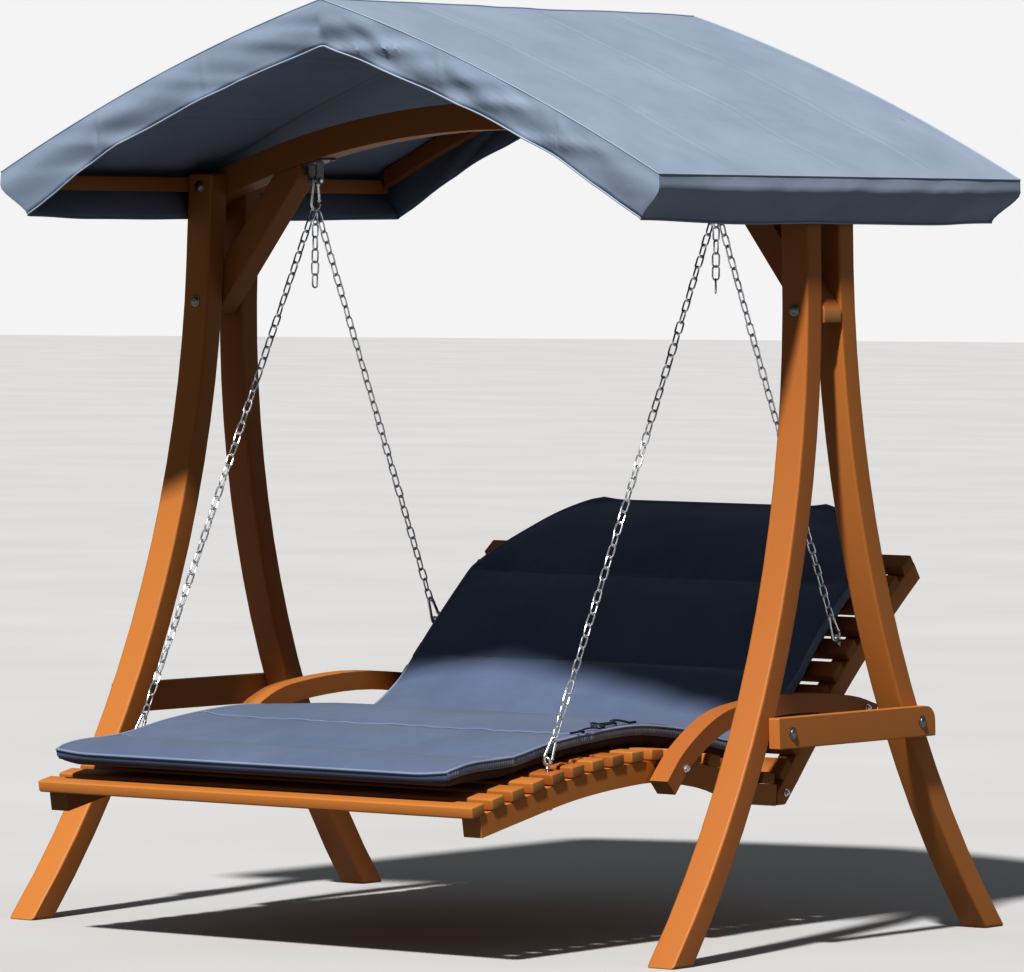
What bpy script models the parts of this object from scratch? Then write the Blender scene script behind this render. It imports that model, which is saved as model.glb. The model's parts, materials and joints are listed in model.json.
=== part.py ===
"""Canopy swing bench: an A-frame of curved timber legs with an arched beam, a cloth
canopy, and a slatted double lounger that hangs on four chains.

Metres, +Z up. The ground is z = 0, the front of the bench faces -Y, and the origin is
under the middle of the whole object. Measures below are taken in the frame's own axes,
whose Y = 0 is the middle plane of the beam; FRAME_Y places those axes in the world.
"""

import bpy
import bmesh
from math import asin, atan2, cos, hypot, pi, radians, sin, sqrt
from mathutils import Matrix, Vector

# ------------------------------------------------------------------ driving dimensions
FRAME_Y = 0.0621            # the beam's middle plane, measured from the object's middle
GAP = 0.0003                # left between pieces that touch
CLEAR = 0.001               # left where cloth or metal lies loosely against timber

FRAME_HALF = 0.950          # outer faces of the side frames, at the ground
LEAN = 0.0337               # the side frames lean inwards by this much per metre
LEG_WIDTH = 0.072           # along X
LEG_DEPTH = 0.062           # across the leg, in the side view
LEG_GAP = 0.072             # between a front leg and its rear leg, at the top
LEG_TOP = 1.760
LEG_BEND_Z = 1.550          # the legs are straight above this height
LEG_RADIUS = 2.322          # of the leg's outer edge
EDGE = 0.006                # rounding on heavy timber
SOFT_EDGE = 0.003           # rounding on slats and rails

BEAM_RADIUS = 2.220         # of the underside
BEAM_CROWN = 1.866          # underside, at the middle
BEAM_DEPTH = 0.065
BEAM_END = 0.884            # half-length

BRACE_FOOT = (0.798, 1.490)  # a point (X, Z) on the brace's underside
BRACE_ANGLE = radians(53.5)
BRACE_DEPTH = 0.065
BRACE_NOSE_X = 0.600        # the brace's upper tip is cut off upright here
BRACE_HEEL_X = 0.904        # and its lower end here
BRACE_HEEL_Z = 1.424

SIDE_RAIL_Z = (0.467, 0.537)
SIDE_RAIL_Y = (-0.294, 0.358)
SIDE_RAIL_THICK = 0.030

EAVE_X, EAVE_Z = 0.936, 1.757
RIDGE_Z = 2.151
CANOPY_HALF_Y = 0.748
ROOF_BULGE = 0.028          # the slopes stand this far above a straight line
SKIRT_DROP = 0.106
SKIRT_IN_X, SKIRT_IN_Y = 0.008, 0.020
CLOTH = 0.003
UNDER_CLOTH = CLOTH + CLEAR + 0.001  # the timber's depth below the cover's upper face
EAVE_RAIL = (0.030, 0.036)  # thickness along X, height
GABLE_Y = 0.700             # middle of the gable arches
GABLE_THICK, GABLE_DEPTH = 0.030, 0.046
RIDGE_RAIL = (0.040, 0.046)  # width along X, height
KING_POST = 0.060

HANGER_X = 0.580
PIN_Z = 1.746               # the lounger swings about these pins
PIN_RADIUS = 0.004
HOOK_WIRE = 0.0035
UPPER_HOOK = (0.040, 0.086)  # outer width and length
LOWER_HOOK = (0.038, 0.075)
CHAIN_RADIUS = 0.004
CHAIN_SIDES = 6
TAIL_BOTTOM = 1.490

RAIL_OUTER = 0.612          # outer faces of the lounger's rails
RAIL_THICK = 0.050
RAIL_DEPTH = 0.050
SLAT_HALF = 0.617
SLAT_WIDTH, SLAT_THICK = 0.050, 0.027
SEAT_SLATS, BACK_SLATS = 16, 10
BATTEN = (0.045, 0.022)
ANCHOR_RISE = 0.020         # eye of an eye bolt above the slat
EYE_INNER, EYE_WIRE = 0.0085, 0.0035
FRONT_ANCHOR_SLAT = 4       # counted from the front edge, from 0
REAR_ANCHOR_SLAT = 5        # counted from the knee, from 0

# the seat rail's middle line in (Y, Z), from the front end to the knee
SEAT_LINE = [(-0.950, 0.314), (-0.800, 0.342), (-0.600, 0.377), (-0.405, 0.396),
             (-0.250, 0.399), (-0.033, 0.373), (0.120, 0.330), (0.222, 0.318)]
BACK_FOOT = (0.250, 0.312)  # the back rail's middle line is one arc between these
BACK_TIP = (0.822, 0.824)
BACK_RISE = 0.021           # of that arc above its chord
BACK_HEEL = (0.263, 0.294)

ARM_LINE = [(-0.292, 0.366), (-0.222, 0.432), (-0.105, 0.496), (0.010, 0.521),
            (0.230, 0.5345), (0.446, 0.5205), (0.560, 0.495)]
ARM_DEPTH = 0.045
ARM_X = (0.6185, 0.6685)

CUSHION_HALF = 0.560
CUSHION_THICK = 0.058
CUSHION_LIFT = 0.005        # clear of the slats
CUSHION_BRIDGE = 0.012      # it spans the hollow by the knee a little higher
CUSHION_HEAD = 0.110        # length of cushion beyond the top slat
CUSHION_HEAD_HALF = 0.376   # half-width at the head end
CUSHION_TAPER = 0.285       # the headrest narrows over this length
CUSHION_FRONT = 0.030       # the mat's front edge, from the front rail end

FRONT, REAR = -1, 1
SIDES = (("left", -1), ("right", 1))


# ------------------------------------------------------------------ scene and materials
def clear_scene():
    for obj in list(bpy.data.objects):
        bpy.data.objects.remove(obj)


def new_collection(name):
    collection = bpy.data.collections.new(name)
    bpy.context.scene.collection.children.link(collection)
    return collection


def new_material(name, colour, roughness, metallic=0.0):
    material = bpy.data.materials.new(name)
    material.use_nodes = True
    shader = material.node_tree.nodes["Principled BSDF"]
    shader.inputs["Base Color"].default_value = (*colour, 1.0)
    shader.inputs["Roughness"].default_value = roughness
    shader.inputs["Metallic"].default_value = metallic
    return material


clear_scene()
PARTS = new_collection("canopy_swing_bench")
CUTTERS = new_collection("cutters")
LARCH = new_material("oiled_larch", (0.45, 0.17, 0.05), 0.50)
CANOPY_CLOTH = new_material("canopy_cloth", (0.22, 0.27, 0.36), 0.85)
CUSHION_CLOTH = new_material("cushion_cloth", (0.06, 0.09, 0.19), 0.85)
STEEL = new_material("galvanised_steel", (0.55, 0.57, 0.58), 0.40, 1.0)

BENCH = bpy.data.objects.new("bench_axes", None)
BENCH.location = (0.0, FRAME_Y, 0.0)
PARTS.objects.link(BENCH)

SIDE_VIEW = (pi / 2, 0.0, pi / 2)   # a flat outline's x, y become the bench's Y, Z
FRONT_VIEW = (pi / 2, 0.0, 0.0)     # a flat outline's x, y become the bench's X, Z


# ------------------------------------------------------------------ lines and outlines
def arc(centre, radius, start, end, steps):
    """Points on a circle from one angle to another, both included."""
    angles = (start + (end - start) * i / steps for i in range(steps + 1))
    return [(centre[0] + radius * cos(a), centre[1] + radius * sin(a)) for a in angles]


def smooth_line(knots, steps):
    """A Catmull-Rom line through the knots, with steps points for each span."""
    first = 2 * Vector(knots[0]) - Vector(knots[1])
    last = 2 * Vector(knots[-1]) - Vector(knots[-2])
    pts = [first, *map(Vector, knots), last]
    line = []
    for a, b, c, d in zip(pts, pts[1:], pts[2:], pts[3:]):
        for i in range(steps):
            t = i / steps
            line.append(0.5 * (2 * b + (c - a) * t + (2 * a - 5 * b + 4 * c - d) * t * t
                               + (3 * b - a - 3 * c + d) * t ** 3))
    return line + [pts[-2]]


def bowed_line(start, end, rise, steps):
    """One circular arc from start to end, bowed to its left by rise."""
    start, end = Vector(start), Vector(end)
    chord = (end - start).length
    radius = chord ** 2 / (8 * rise) + rise / 2
    forward = (end - start) / chord
    left = Vector((-forward.y, forward.x))
    centre = (start + end) / 2 - left * (radius - rise)
    half = asin(chord / 2 / radius)
    line = []
    for i in range(steps + 1):
        turn = half * (2 * i / steps - 1)
        line.append(centre + radius * (left * cos(turn) + forward * sin(turn)))
    return line


def normals(line):
    """Unit normals on the left of a line."""
    found = []
    for i in range(len(line)):
        step = Vector(line[min(i + 1, len(line) - 1)]) - Vector(line[max(i - 1, 0)])
        step.normalize()
        found.append(Vector((-step.y, step.x)))
    return found


def offset(line, distance):
    return [Vector(p) + n * distance for p, n in zip(line, normals(line))]


def along(line, distance):
    """(point, unit direction) at a distance along a line, past its ends if need be."""
    line = [Vector(p) for p in line]
    for a, b in zip(line, line[1:]):
        length = (b - a).length
        if distance <= length or b == line[-1]:
            return a + (b - a) * (distance / length), (b - a) / length
        distance -= length


def length_of(line):
    return sum((Vector(b) - Vector(a)).length for a, b in zip(line, line[1:]))


def roof_z(x):
    """Height of the canopy's outer surface at a distance from the ridge."""
    u = abs(x) / EAVE_X
    return RIDGE_Z - (RIDGE_Z - EAVE_Z) * u + 4 * ROOF_BULGE * u * (1 - u)


# ------------------------------------------------------------------ making objects
def add_part(name, mesh, material, collection=PARTS, smooth=False):
    mesh.name = name
    mesh.materials.clear()
    mesh.materials.append(material)
    obj = bpy.data.objects.new(name, mesh)
    collection.objects.link(obj)
    obj.parent = BENCH
    if smooth:
        mesh.shade_smooth()
        mesh.set_sharp_from_angle(angle=radians(40))
    return obj


def face_up(shape):
    """Turn an open sheet's faces so that its top looks up."""
    bmesh.ops.recalc_face_normals(shape, faces=shape.faces)
    if sum(face.normal.z * face.calc_area() for face in shape.faces) < 0:
        bmesh.ops.reverse_faces(shape, faces=shape.faces)


def add_modifier(obj, kind, **settings):
    modifier = obj.modifiers.new(kind.lower(), kind)
    for key, value in settings.items():
        setattr(modifier, key, value)
    return modifier


def round_edges(obj, width, segments=2):
    add_modifier(obj, "BEVEL", width=width, segments=segments, limit_method="ANGLE",
                 angle_limit=radians(40), use_clamp_overlap=True)


def mesh_from_curve(curve, matrix=Matrix.Identity(4)):
    """The closed mesh of a curve, moved by matrix; the curve object is removed."""
    holder = bpy.data.objects.new("outline", curve)
    PARTS.objects.link(holder)
    bpy.context.view_layer.update()
    evaluated = holder.evaluated_get(bpy.context.evaluated_depsgraph_get())
    mesh = bpy.data.meshes.new_from_object(evaluated)
    bpy.data.objects.remove(holder)
    bpy.data.curves.remove(curve)
    shape = bmesh.new()
    shape.from_mesh(mesh)
    bmesh.ops.remove_doubles(shape, verts=shape.verts, dist=0.00001)
    bmesh.ops.transform(shape, matrix=matrix, verts=shape.verts)
    shape.to_mesh(mesh)
    shape.free()
    return mesh


def board(name, outline, thickness, view, middle, material=LARCH, edge=EDGE, segments=2):
    """A flat outline given a thickness, seen in SIDE_VIEW or FRONT_VIEW."""
    curve = bpy.data.curves.new(name, "CURVE")
    curve.dimensions = "2D"
    curve.fill_mode = "BOTH"
    curve.extrude = thickness / 2
    spline = curve.splines.new("POLY")
    spline.points.add(len(outline) - 1)
    for point, (x, y) in zip(spline.points, outline):
        point.co = (x, y, 0.0, 1.0)
    spline.use_cyclic_u = True
    turn = Matrix.Rotation(view[2], 4, "Z") @ Matrix.Rotation(view[0], 4, "X")
    obj = add_part(name, mesh_from_curve(curve, turn), material)
    obj.location = (middle, 0.0, 0.0) if view is SIDE_VIEW else (0.0, middle, 0.0)
    if edge:
        round_edges(obj, edge, segments)
    return obj


def box(name, size, centre, tilt=0.0, material=LARCH, edge=SOFT_EDGE, segments=1):
    """A box turned about X by tilt."""
    shape = bmesh.new()
    bmesh.ops.create_cube(shape, size=1.0)
    bmesh.ops.scale(shape, vec=size, verts=shape.verts)
    mesh = bpy.data.meshes.new(name)
    shape.to_mesh(mesh)
    shape.free()
    obj = add_part(name, mesh, material)
    obj.location = centre
    obj.rotation_euler.x = tilt
    if edge:
        round_edges(obj, edge, segments)
    return obj


def rod(name, start, end, radius, sides, material=STEEL, collection=PARTS):
    """A straight round bar between two points."""
    start, end = Vector(start), Vector(end)
    shape = bmesh.new()
    bmesh.ops.create_cone(shape, cap_ends=True, segments=sides, radius1=radius,
                          radius2=radius, depth=(end - start).length)
    mesh = bpy.data.meshes.new(name)
    shape.to_mesh(mesh)
    shape.free()
    obj = add_part(name, mesh, material, collection)
    obj.location = (start + end) / 2
    obj.rotation_mode = "QUATERNION"
    obj.rotation_quaternion = (end - start).to_track_quat("Z", "Y")
    return obj


def drill(obj, start, end, radius):
    cutter = rod(obj.name + "_drill", start, end, radius, 12, collection=CUTTERS)
    cutter.hide_render = True
    cutter.display_type = "WIRE"
    add_modifier(obj, "BOOLEAN", object=cutter, operation="DIFFERENCE", solver="EXACT")


def join(obj, other):
    """Make two overlapping solids one, with the second kept as a hidden guide."""
    PARTS.objects.unlink(other)
    CUTTERS.objects.link(other)
    other.hide_render = True
    other.display_type = "WIRE"
    add_modifier(obj, "BOOLEAN", object=other, operation="UNION", solver="EXACT")


def ring(name, width, length, wire, material=STEEL):
    """A closed oblong ring of round wire in the YZ plane, hanging from its local origin.
    The origin is on the wire's middle line, at the top."""
    radius = width / 2 - wire
    straight = length / 2 - wire - radius
    points = arc((0.0, -radius), radius, 0, pi, 6)
    points += arc((0.0, -radius - 2 * straight), radius, pi, 2 * pi, 6)
    curve = bpy.data.curves.new(name, "CURVE")
    curve.dimensions = "3D"
    curve.bevel_depth = wire
    curve.bevel_resolution = 1
    spline = curve.splines.new("POLY")
    spline.points.add(len(points) - 1)
    for point, (y, z) in zip(spline.points, points):
        point.co = (0.0, y, z, 1.0)
    spline.use_cyclic_u = True
    return add_part(name, mesh_from_curve(curve), material, smooth=True)


# ------------------------------------------------------------------ the standing frame
def leg_edge(radius, z):
    """Distance of a leg's edge from the beam's middle plane, at a height."""
    outer = LEG_GAP / 2 + LEG_DEPTH
    fall = max(LEG_BEND_Z - z, 0.0)
    return outer + LEG_RADIUS - sqrt(radius ** 2 - fall ** 2)


def make_leg(side_name, side, end_name, end):
    """The edges are arcs about one centre; the foot is flat on the ground."""
    steps = 16
    outline = []
    for radius, order in ((LEG_RADIUS, 1), (LEG_RADIUS + LEG_DEPTH, -1)):
        heights = [LEG_TOP] + [LEG_BEND_Z * (1 - i / steps) for i in range(steps + 1)]
        outline += [(end * leg_edge(radius, z), z) for z in heights[::order]]
    if end == FRONT:
        outline.reverse()
    leg = board(f"leg_{end_name}_{side_name}", outline, LEG_WIDTH, SIDE_VIEW,
                side * (FRAME_HALF - LEG_WIDTH / 2))
    for vertex in leg.data.vertices:
        vertex.co.x -= side * LEAN * vertex.co.z
    return leg


def beam_under(x):
    return BEAM_CROWN - BEAM_RADIUS + sqrt(BEAM_RADIUS ** 2 - x ** 2)


def make_beam():
    centre = (0.0, BEAM_CROWN - BEAM_RADIUS)
    steps = 24
    outline = []
    for radius, sign in ((BEAM_RADIUS, 1), (BEAM_RADIUS + BEAM_DEPTH, -1)):
        half = asin(BEAM_END / radius)
        outline += arc(centre, radius, pi / 2 + sign * half, pi / 2 - sign * half, steps)
    return board("swing_beam", outline, LEG_GAP - 2 * GAP, FRONT_VIEW, 0.0)


def make_brace(side_name, side):
    """Bolted between the legs at its foot, butting against the beam's underside."""
    down = (cos(BRACE_ANGLE), -sin(BRACE_ANGLE))
    slope = sin(BRACE_ANGLE) / cos(BRACE_ANGLE)

    def underside(x):
        return BRACE_FOOT[1] - (x - BRACE_FOOT[0]) * slope

    def upper_side(x):
        return underside(x) + BRACE_DEPTH / cos(BRACE_ANGLE)

    top = BRACE_NOSE_X
    while upper_side(top) > beam_under(top) - GAP:
        top += 0.0005
    heel = (BRACE_FOOT[0] + (BRACE_HEEL_Z - BRACE_FOOT[1]) / down[1] * down[0],
            BRACE_HEEL_Z)
    outline = [(BRACE_NOSE_X, underside(BRACE_NOSE_X)), heel,
               (BRACE_HEEL_X, BRACE_HEEL_Z), (BRACE_HEEL_X, upper_side(BRACE_HEEL_X)),
               (top, beam_under(top) - GAP),
               (BRACE_NOSE_X, beam_under(BRACE_NOSE_X) - GAP)]
    outline = [(side * x, z) for x, z in outline]
    return board(f"knee_brace_{side_name}", outline, LEG_GAP - 2 * GAP, FRONT_VIEW, 0.0,
                 edge=SOFT_EDGE)


def make_side_rail(side_name, side):
    """A plank across the outer faces of a front and a rear leg, tilted as they lean."""
    low, high = SIDE_RAIL_Z
    front, rear = SIDE_RAIL_Y
    radius = (high - low) / 2
    outline = [(front, low), (rear, low)]
    outline += arc((rear - radius, high - radius), radius, 0, pi / 2, 5)
    outline += [(front, high)]
    middle = side * (FRAME_HALF + SIDE_RAIL_THICK / 2 + GAP)
    rail = board(f"side_rail_{side_name}", outline, SIDE_RAIL_THICK, SIDE_VIEW, middle,
                 edge=SOFT_EDGE)
    for vertex in rail.data.vertices:
        vertex.co.x -= side * LEAN * vertex.co.z
    return rail


# ------------------------------------------------------------------ the canopy
def make_eave_rail(side_name, side):
    thick, height = EAVE_RAIL
    inner = FRAME_HALF - LEAN * (LEG_TOP - height) + GAP
    centre = (side * (inner + thick / 2), 0.0, LEG_TOP - height / 2 - 0.008)
    length = 2 * (GABLE_Y + GABLE_THICK / 2)
    return box(f"eave_rail_{side_name}", (thick, length, height), centre)


def make_gable_arch(name, y):
    """A pair of bent rafters, joined at the ridge, that carries one end of the cover."""
    reach = FRAME_HALF - LEAN * LEG_TOP - GAP
    steps = 12
    xs = [reach * (2 * i / steps - 1) for i in range(steps + 1)]
    top = [(x, roof_z(x) - UNDER_CLOTH) for x in xs]
    bottom = [(x, roof_z(x) - UNDER_CLOTH - GABLE_DEPTH) for x in xs]
    return board(name, bottom + top[::-1], GABLE_THICK, FRONT_VIEW, y, edge=SOFT_EDGE,
                 segments=1)


def make_ridge_rail():
    width, height = RIDGE_RAIL
    top = roof_z(width / 2) - UNDER_CLOTH
    length = 2 * (GABLE_Y - GABLE_THICK / 2 - GAP)
    return box("ridge_rail", (width, length, height), (0, 0, top - height / 2))


def make_king_post():
    foot = BEAM_CROWN + BEAM_DEPTH + 2 * GAP
    head = roof_z(RIDGE_RAIL[0] / 2) - UNDER_CLOTH - RIDGE_RAIL[1] - GAP
    return box("king_post", (KING_POST, KING_POST, head - foot),
               (0, 0, (head + foot) / 2))


def make_canopy_cover():
    """One sheet over the ridge with a skirt on all four sides."""
    shape = bmesh.new()
    bmesh.ops.create_grid(shape, x_segments=16, y_segments=6, size=1.0)
    for vertex in shape.verts:
        x = vertex.co.x * EAVE_X
        vertex.co = (x, vertex.co.y * CANOPY_HALF_Y, roof_z(x))
    rim = [edge for edge in shape.edges if edge.is_boundary]
    grown = bmesh.ops.extrude_edge_only(shape, edges=rim)["geom"]
    for vertex in (v for v in grown if isinstance(v, bmesh.types.BMVert)):
        vertex.co.z -= SKIRT_DROP
        vertex.co.x *= 1 - SKIRT_IN_X / EAVE_X
        vertex.co.y *= 1 - SKIRT_IN_Y / CANOPY_HALF_Y
    face_up(shape)
    mesh = bpy.data.meshes.new("canopy_cover")
    shape.to_mesh(mesh)
    shape.free()
    cover = add_part("canopy_cover", mesh, CANOPY_CLOTH)
    add_modifier(cover, "SOLIDIFY", thickness=CLOTH, offset=-1.0, use_even_offset=True)
    return cover


# ------------------------------------------------------------------ hangers and chains
def make_hanger(side_name, side):
    """A plate under the beam with two lugs, and the pin that the top hook hangs on."""
    lug_x, lug_thick, lug_depth = 0.013, 0.003, 0.026
    plate = (0.056, 0.060, 0.004)
    plate_x = BRACE_NOSE_X - 0.031
    slope = -side * asin(plate_x / BEAM_RADIUS)
    lift = plate[2] / 2 + 0.0012
    centre = Vector((side * plate_x, 0.0, beam_under(plate_x)))
    bracket = box(f"hanger_bracket_{side_name}", plate, centre, edge=0, material=STEEL)
    bracket.rotation_euler = (0.0, -slope, 0.0)
    bracket.location = centre - Vector((sin(-slope), 0.0, cos(slope))) * lift
    low = PIN_Z - 0.010
    for lug_side in (-1, 1):
        x = side * HANGER_X + lug_side * lug_x
        top = bracket.location.z - (abs(x) - plate_x) * abs(sin(slope))
        lug = box(f"{bracket.name}_lug", (lug_thick, lug_depth, top - low),
                  (x, 0.0, (top + low) / 2), edge=0, material=STEEL)
        join(bracket, lug)
    reach = lug_x + lug_thick / 2 + 0.003
    ends = [(side * HANGER_X + s * reach, 0.0, PIN_Z) for s in (-1, 1)]
    drill(bracket, *ends, PIN_RADIUS + GAP)
    rod(f"hanger_pin_{side_name}", *ends, PIN_RADIUS, 12)


def make_upper_hook(side_name, side):
    hook = ring(f"upper_hook_{side_name}", *UPPER_HOOK, HOOK_WIRE)
    hook.location = (side * HANGER_X, 0.0, PIN_Z + PIN_RADIUS + HOOK_WIRE + GAP)
    return hook


def hook_bottom():
    """Height of the inside of the upper hook, at its bottom."""
    return PIN_Z + PIN_RADIUS + GAP + 2 * HOOK_WIRE - UPPER_HOOK[1] + HOOK_WIRE


def make_chains(side_name, side, anchors):
    """Two chains meet in the upper hook; each ends in a hook through an eye bolt."""
    top = Vector((side * HANGER_X, 0.0, hook_bottom() + 0.006))
    for end_name, end in (("front", FRONT), ("rear", REAR)):
        eye = anchors[end_name]
        x = side * (RAIL_OUTER - RAIL_THICK / 2)
        low = Vector((x, eye.x, eye.y))
        run = (top - low).normalized()
        hook = ring(f"lower_hook_{end_name}_{side_name}", *LOWER_HOOK, HOOK_WIRE)
        tilt = atan2(-run.y, run.z)
        hook.rotation_euler.x = tilt
        hook.rotation_euler.y = atan2(run.x, hypot(run.y, run.z))
        grip = EYE_INNER - HOOK_WIRE - 5 * GAP
        hook_top = low + run * (LOWER_HOOK[1] - 2 * HOOK_WIRE - grip)
        hook.location = hook_top
        start = hook_top + run * (HOOK_WIRE + 0.001)
        finish = top - run * 0.020 + Vector((0.0, 0.004 * end, 0.0))
        rod(f"chain_{end_name}_{side_name}", start, finish, CHAIN_RADIUS, CHAIN_SIDES)
    tail_top = hook_bottom() - 2 * HOOK_WIRE - 0.002
    x = side * HANGER_X
    rod(f"chain_tail_{side_name}", (x, 0.0, TAIL_BOTTOM), (x, 0.0, tail_top),
        CHAIN_RADIUS, CHAIN_SIDES)


# ------------------------------------------------------------------ the lounger
SEAT = smooth_line(SEAT_LINE, 4)
BACK = bowed_line(BACK_FOOT, BACK_TIP, BACK_RISE, 12)
RAIL_MIDDLE = RAIL_OUTER - RAIL_THICK / 2


def slat_place(rail_line, distance):
    """(centre, direction) of a flat slat resting on a curved rail's upper edge."""
    upper = offset(rail_line, RAIL_DEPTH / 2)
    low, _ = along(upper, distance - SLAT_WIDTH / 2)
    middle, _ = along(upper, distance)
    high, _ = along(upper, distance + SLAT_WIDTH / 2)
    direction = (high - low).normalized()
    normal = Vector((-direction.y, direction.x))
    chord = (low + high) / 2
    rise = max((middle - chord).dot(normal), 0.0)
    return chord + normal * (rise + SLAT_THICK / 2 + 2 * GAP), direction


def seat_slat_place(number):
    """Number 0 is the nose slat, which stands out past the rails' front ends."""
    first, last = -0.009, 0.034
    pitch = (length_of(SEAT) - first - last) / (SEAT_SLATS - 1)
    return slat_place(SEAT, first + pitch * number)


def back_slat_place(number):
    first, last = 0.052, 0.027
    pitch = (length_of(BACK) - first - last) / (BACK_SLATS - 1)
    return slat_place(BACK, first + pitch * number)


def make_seat_rail(side_name, side):
    upper = offset(SEAT, RAIL_DEPTH / 2)
    lower = offset(SEAT, -RAIL_DEPTH / 2)
    outline = lower + upper[::-1]
    return board(f"seat_rail_{side_name}", outline, RAIL_THICK, SIDE_VIEW,
                 side * RAIL_MIDDLE, edge=SOFT_EDGE, segments=1)


def make_back_rail(side_name, side):
    """Its heel is cut upright, to meet the end of the seat rail."""
    knee = SEAT_LINE[-1][0] + GAP + 0.004
    front = offset(BACK, RAIL_DEPTH / 2)
    rear = offset(BACK, -RAIL_DEPTH / 2)
    rear = [p for p in rear if p.y > BACK_HEEL[1] + 0.010]
    front = [p for p in front if p.x > knee + 0.002]
    outline = [(knee, BACK_HEEL[1]), BACK_HEEL, *rear, *front[::-1],
               (knee, front[0].y - 0.005)]
    return board(f"back_rail_{side_name}", outline, RAIL_THICK, SIDE_VIEW,
                 side * RAIL_MIDDLE, edge=SOFT_EDGE, segments=1)


def make_slat(name, place):
    centre, direction = place
    size = (2 * SLAT_HALF, SLAT_WIDTH, SLAT_THICK)
    tilt = atan2(direction.y, direction.x)
    return box(name, size, (0.0, centre.x, centre.y), tilt, edge=0.004)


def make_back_panel():
    """The back's slats, held together by a batten down the middle of their rear side."""
    width, thick = BATTEN
    bite = 0.002
    line = offset(BACK, RAIL_DEPTH / 2 + GAP + bite - thick / 2)
    outline = offset(line, -thick / 2) + offset(line, thick / 2)[::-1]
    panel = board("back_slats", outline, width, SIDE_VIEW, 0.0, edge=0)
    for number in range(BACK_SLATS):
        join(panel, make_slat(f"back_slat_{number}", back_slat_place(number)))
    return panel


def make_armrest(side_name, side):
    line = smooth_line(ARM_LINE, 4)
    outline = offset(line, -ARM_DEPTH / 2) + offset(line, ARM_DEPTH / 2)[::-1]
    inner, outer = ARM_X
    return board(f"armrest_{side_name}", outline, outer - inner, SIDE_VIEW,
                 side * (inner + outer) / 2, edge=SOFT_EDGE, segments=2)


def anchor_place(place):
    """(slat's middle, eye) of a chain anchor, in (Y, Z)."""
    centre, direction = place
    normal = Vector((-direction.y, direction.x))
    return centre, centre + normal * (SLAT_THICK / 2 + ANCHOR_RISE)


def make_eye_bolt(name, x, place, drilled):
    """An eye with a shank through a slat and the rail below it."""
    centre, eye = anchor_place(place)
    up = (eye - centre).normalized()
    shank = 0.0035
    foot = centre - up * (SLAT_THICK / 2 + RAIL_DEPTH + 0.012)
    neck = eye - up * (EYE_INNER + EYE_WIRE)
    bolt = rod(name, (x, foot.x, foot.y), (x, neck.x, neck.y), shank, 10)
    bpy.ops.mesh.primitive_torus_add(major_radius=EYE_INNER + EYE_WIRE,
                                     minor_radius=EYE_WIRE, major_segments=16,
                                     minor_segments=8)
    eye_ring = bpy.context.object
    eye_ring.name = name + "_eye"
    for collection in list(eye_ring.users_collection):
        collection.objects.unlink(eye_ring)
    PARTS.objects.link(eye_ring)
    eye_ring.parent = BENCH
    eye_ring.location = (x, eye.x, eye.y)
    tilt = atan2(up.y, up.x) - pi / 2
    eye_ring.rotation_euler = (tilt + pi / 2, 0.0, 0.0)
    eye_ring.data.materials.append(STEEL)
    join(bolt, eye_ring)
    for obj in drilled:
        start = Vector((x, foot.x, foot.y)) - Vector((0, up.x, up.y)) * 0.01
        end = Vector((x, eye.x, eye.y))
        drill(obj, start, end, shank + GAP)
    return bolt


def cushion_half(distance, total):
    """Half-width of the mat at a distance along it: square feet, tapered head."""
    to_head = total - distance
    if to_head > CUSHION_TAPER:
        return CUSHION_HALF
    narrow = CUSHION_HALF - CUSHION_HEAD_HALF
    return CUSHION_HALF - narrow * (1 - to_head / CUSHION_TAPER) ** 1.3


def make_cushion():
    """One mat over the seat and back, lying on the slats."""
    lift = RAIL_DEPTH / 2 + SLAT_THICK + CUSHION_LIFT
    seat = offset([p for p in SEAT if p.x < 0.13], lift)
    seat[-1].y += CUSHION_BRIDGE
    back = offset([p for p in BACK if p.x > 0.33], lift)
    line = smooth_line([*seat[::4], *back[::-3][::-1]], 2)
    steps = 36
    total = length_of(line) + CUSHION_HEAD + CUSHION_FRONT
    shape = bmesh.new()
    bmesh.ops.create_grid(shape, x_segments=8, y_segments=steps, size=1.0)
    for vertex in shape.verts:
        distance = (vertex.co.y + 1) / 2 * total
        point, _ = along(line, distance - CUSHION_FRONT)
        vertex.co = (vertex.co.x * cushion_half(distance, total), point.x, point.y)
    face_up(shape)
    mesh = bpy.data.meshes.new("cushion")
    shape.to_mesh(mesh)
    shape.free()
    cushion = add_part("cushion", mesh, CUSHION_CLOTH)
    add_modifier(cushion, "SOLIDIFY", thickness=CUSHION_THICK, offset=1.0)
    return cushion


# ------------------------------------------------------------------ assembly
def build_frame():
    for side_name, side in SIDES:
        make_leg(side_name, side, "front", FRONT)
        make_leg(side_name, side, "rear", REAR)
        make_brace(side_name, side)
        make_side_rail(side_name, side)
        make_eave_rail(side_name, side)
        make_hanger(side_name, side)
    make_beam()
    make_gable_arch("gable_arch_front", -GABLE_Y)
    make_gable_arch("gable_arch_rear", GABLE_Y)
    make_ridge_rail()
    make_king_post()
    make_canopy_cover()


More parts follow.
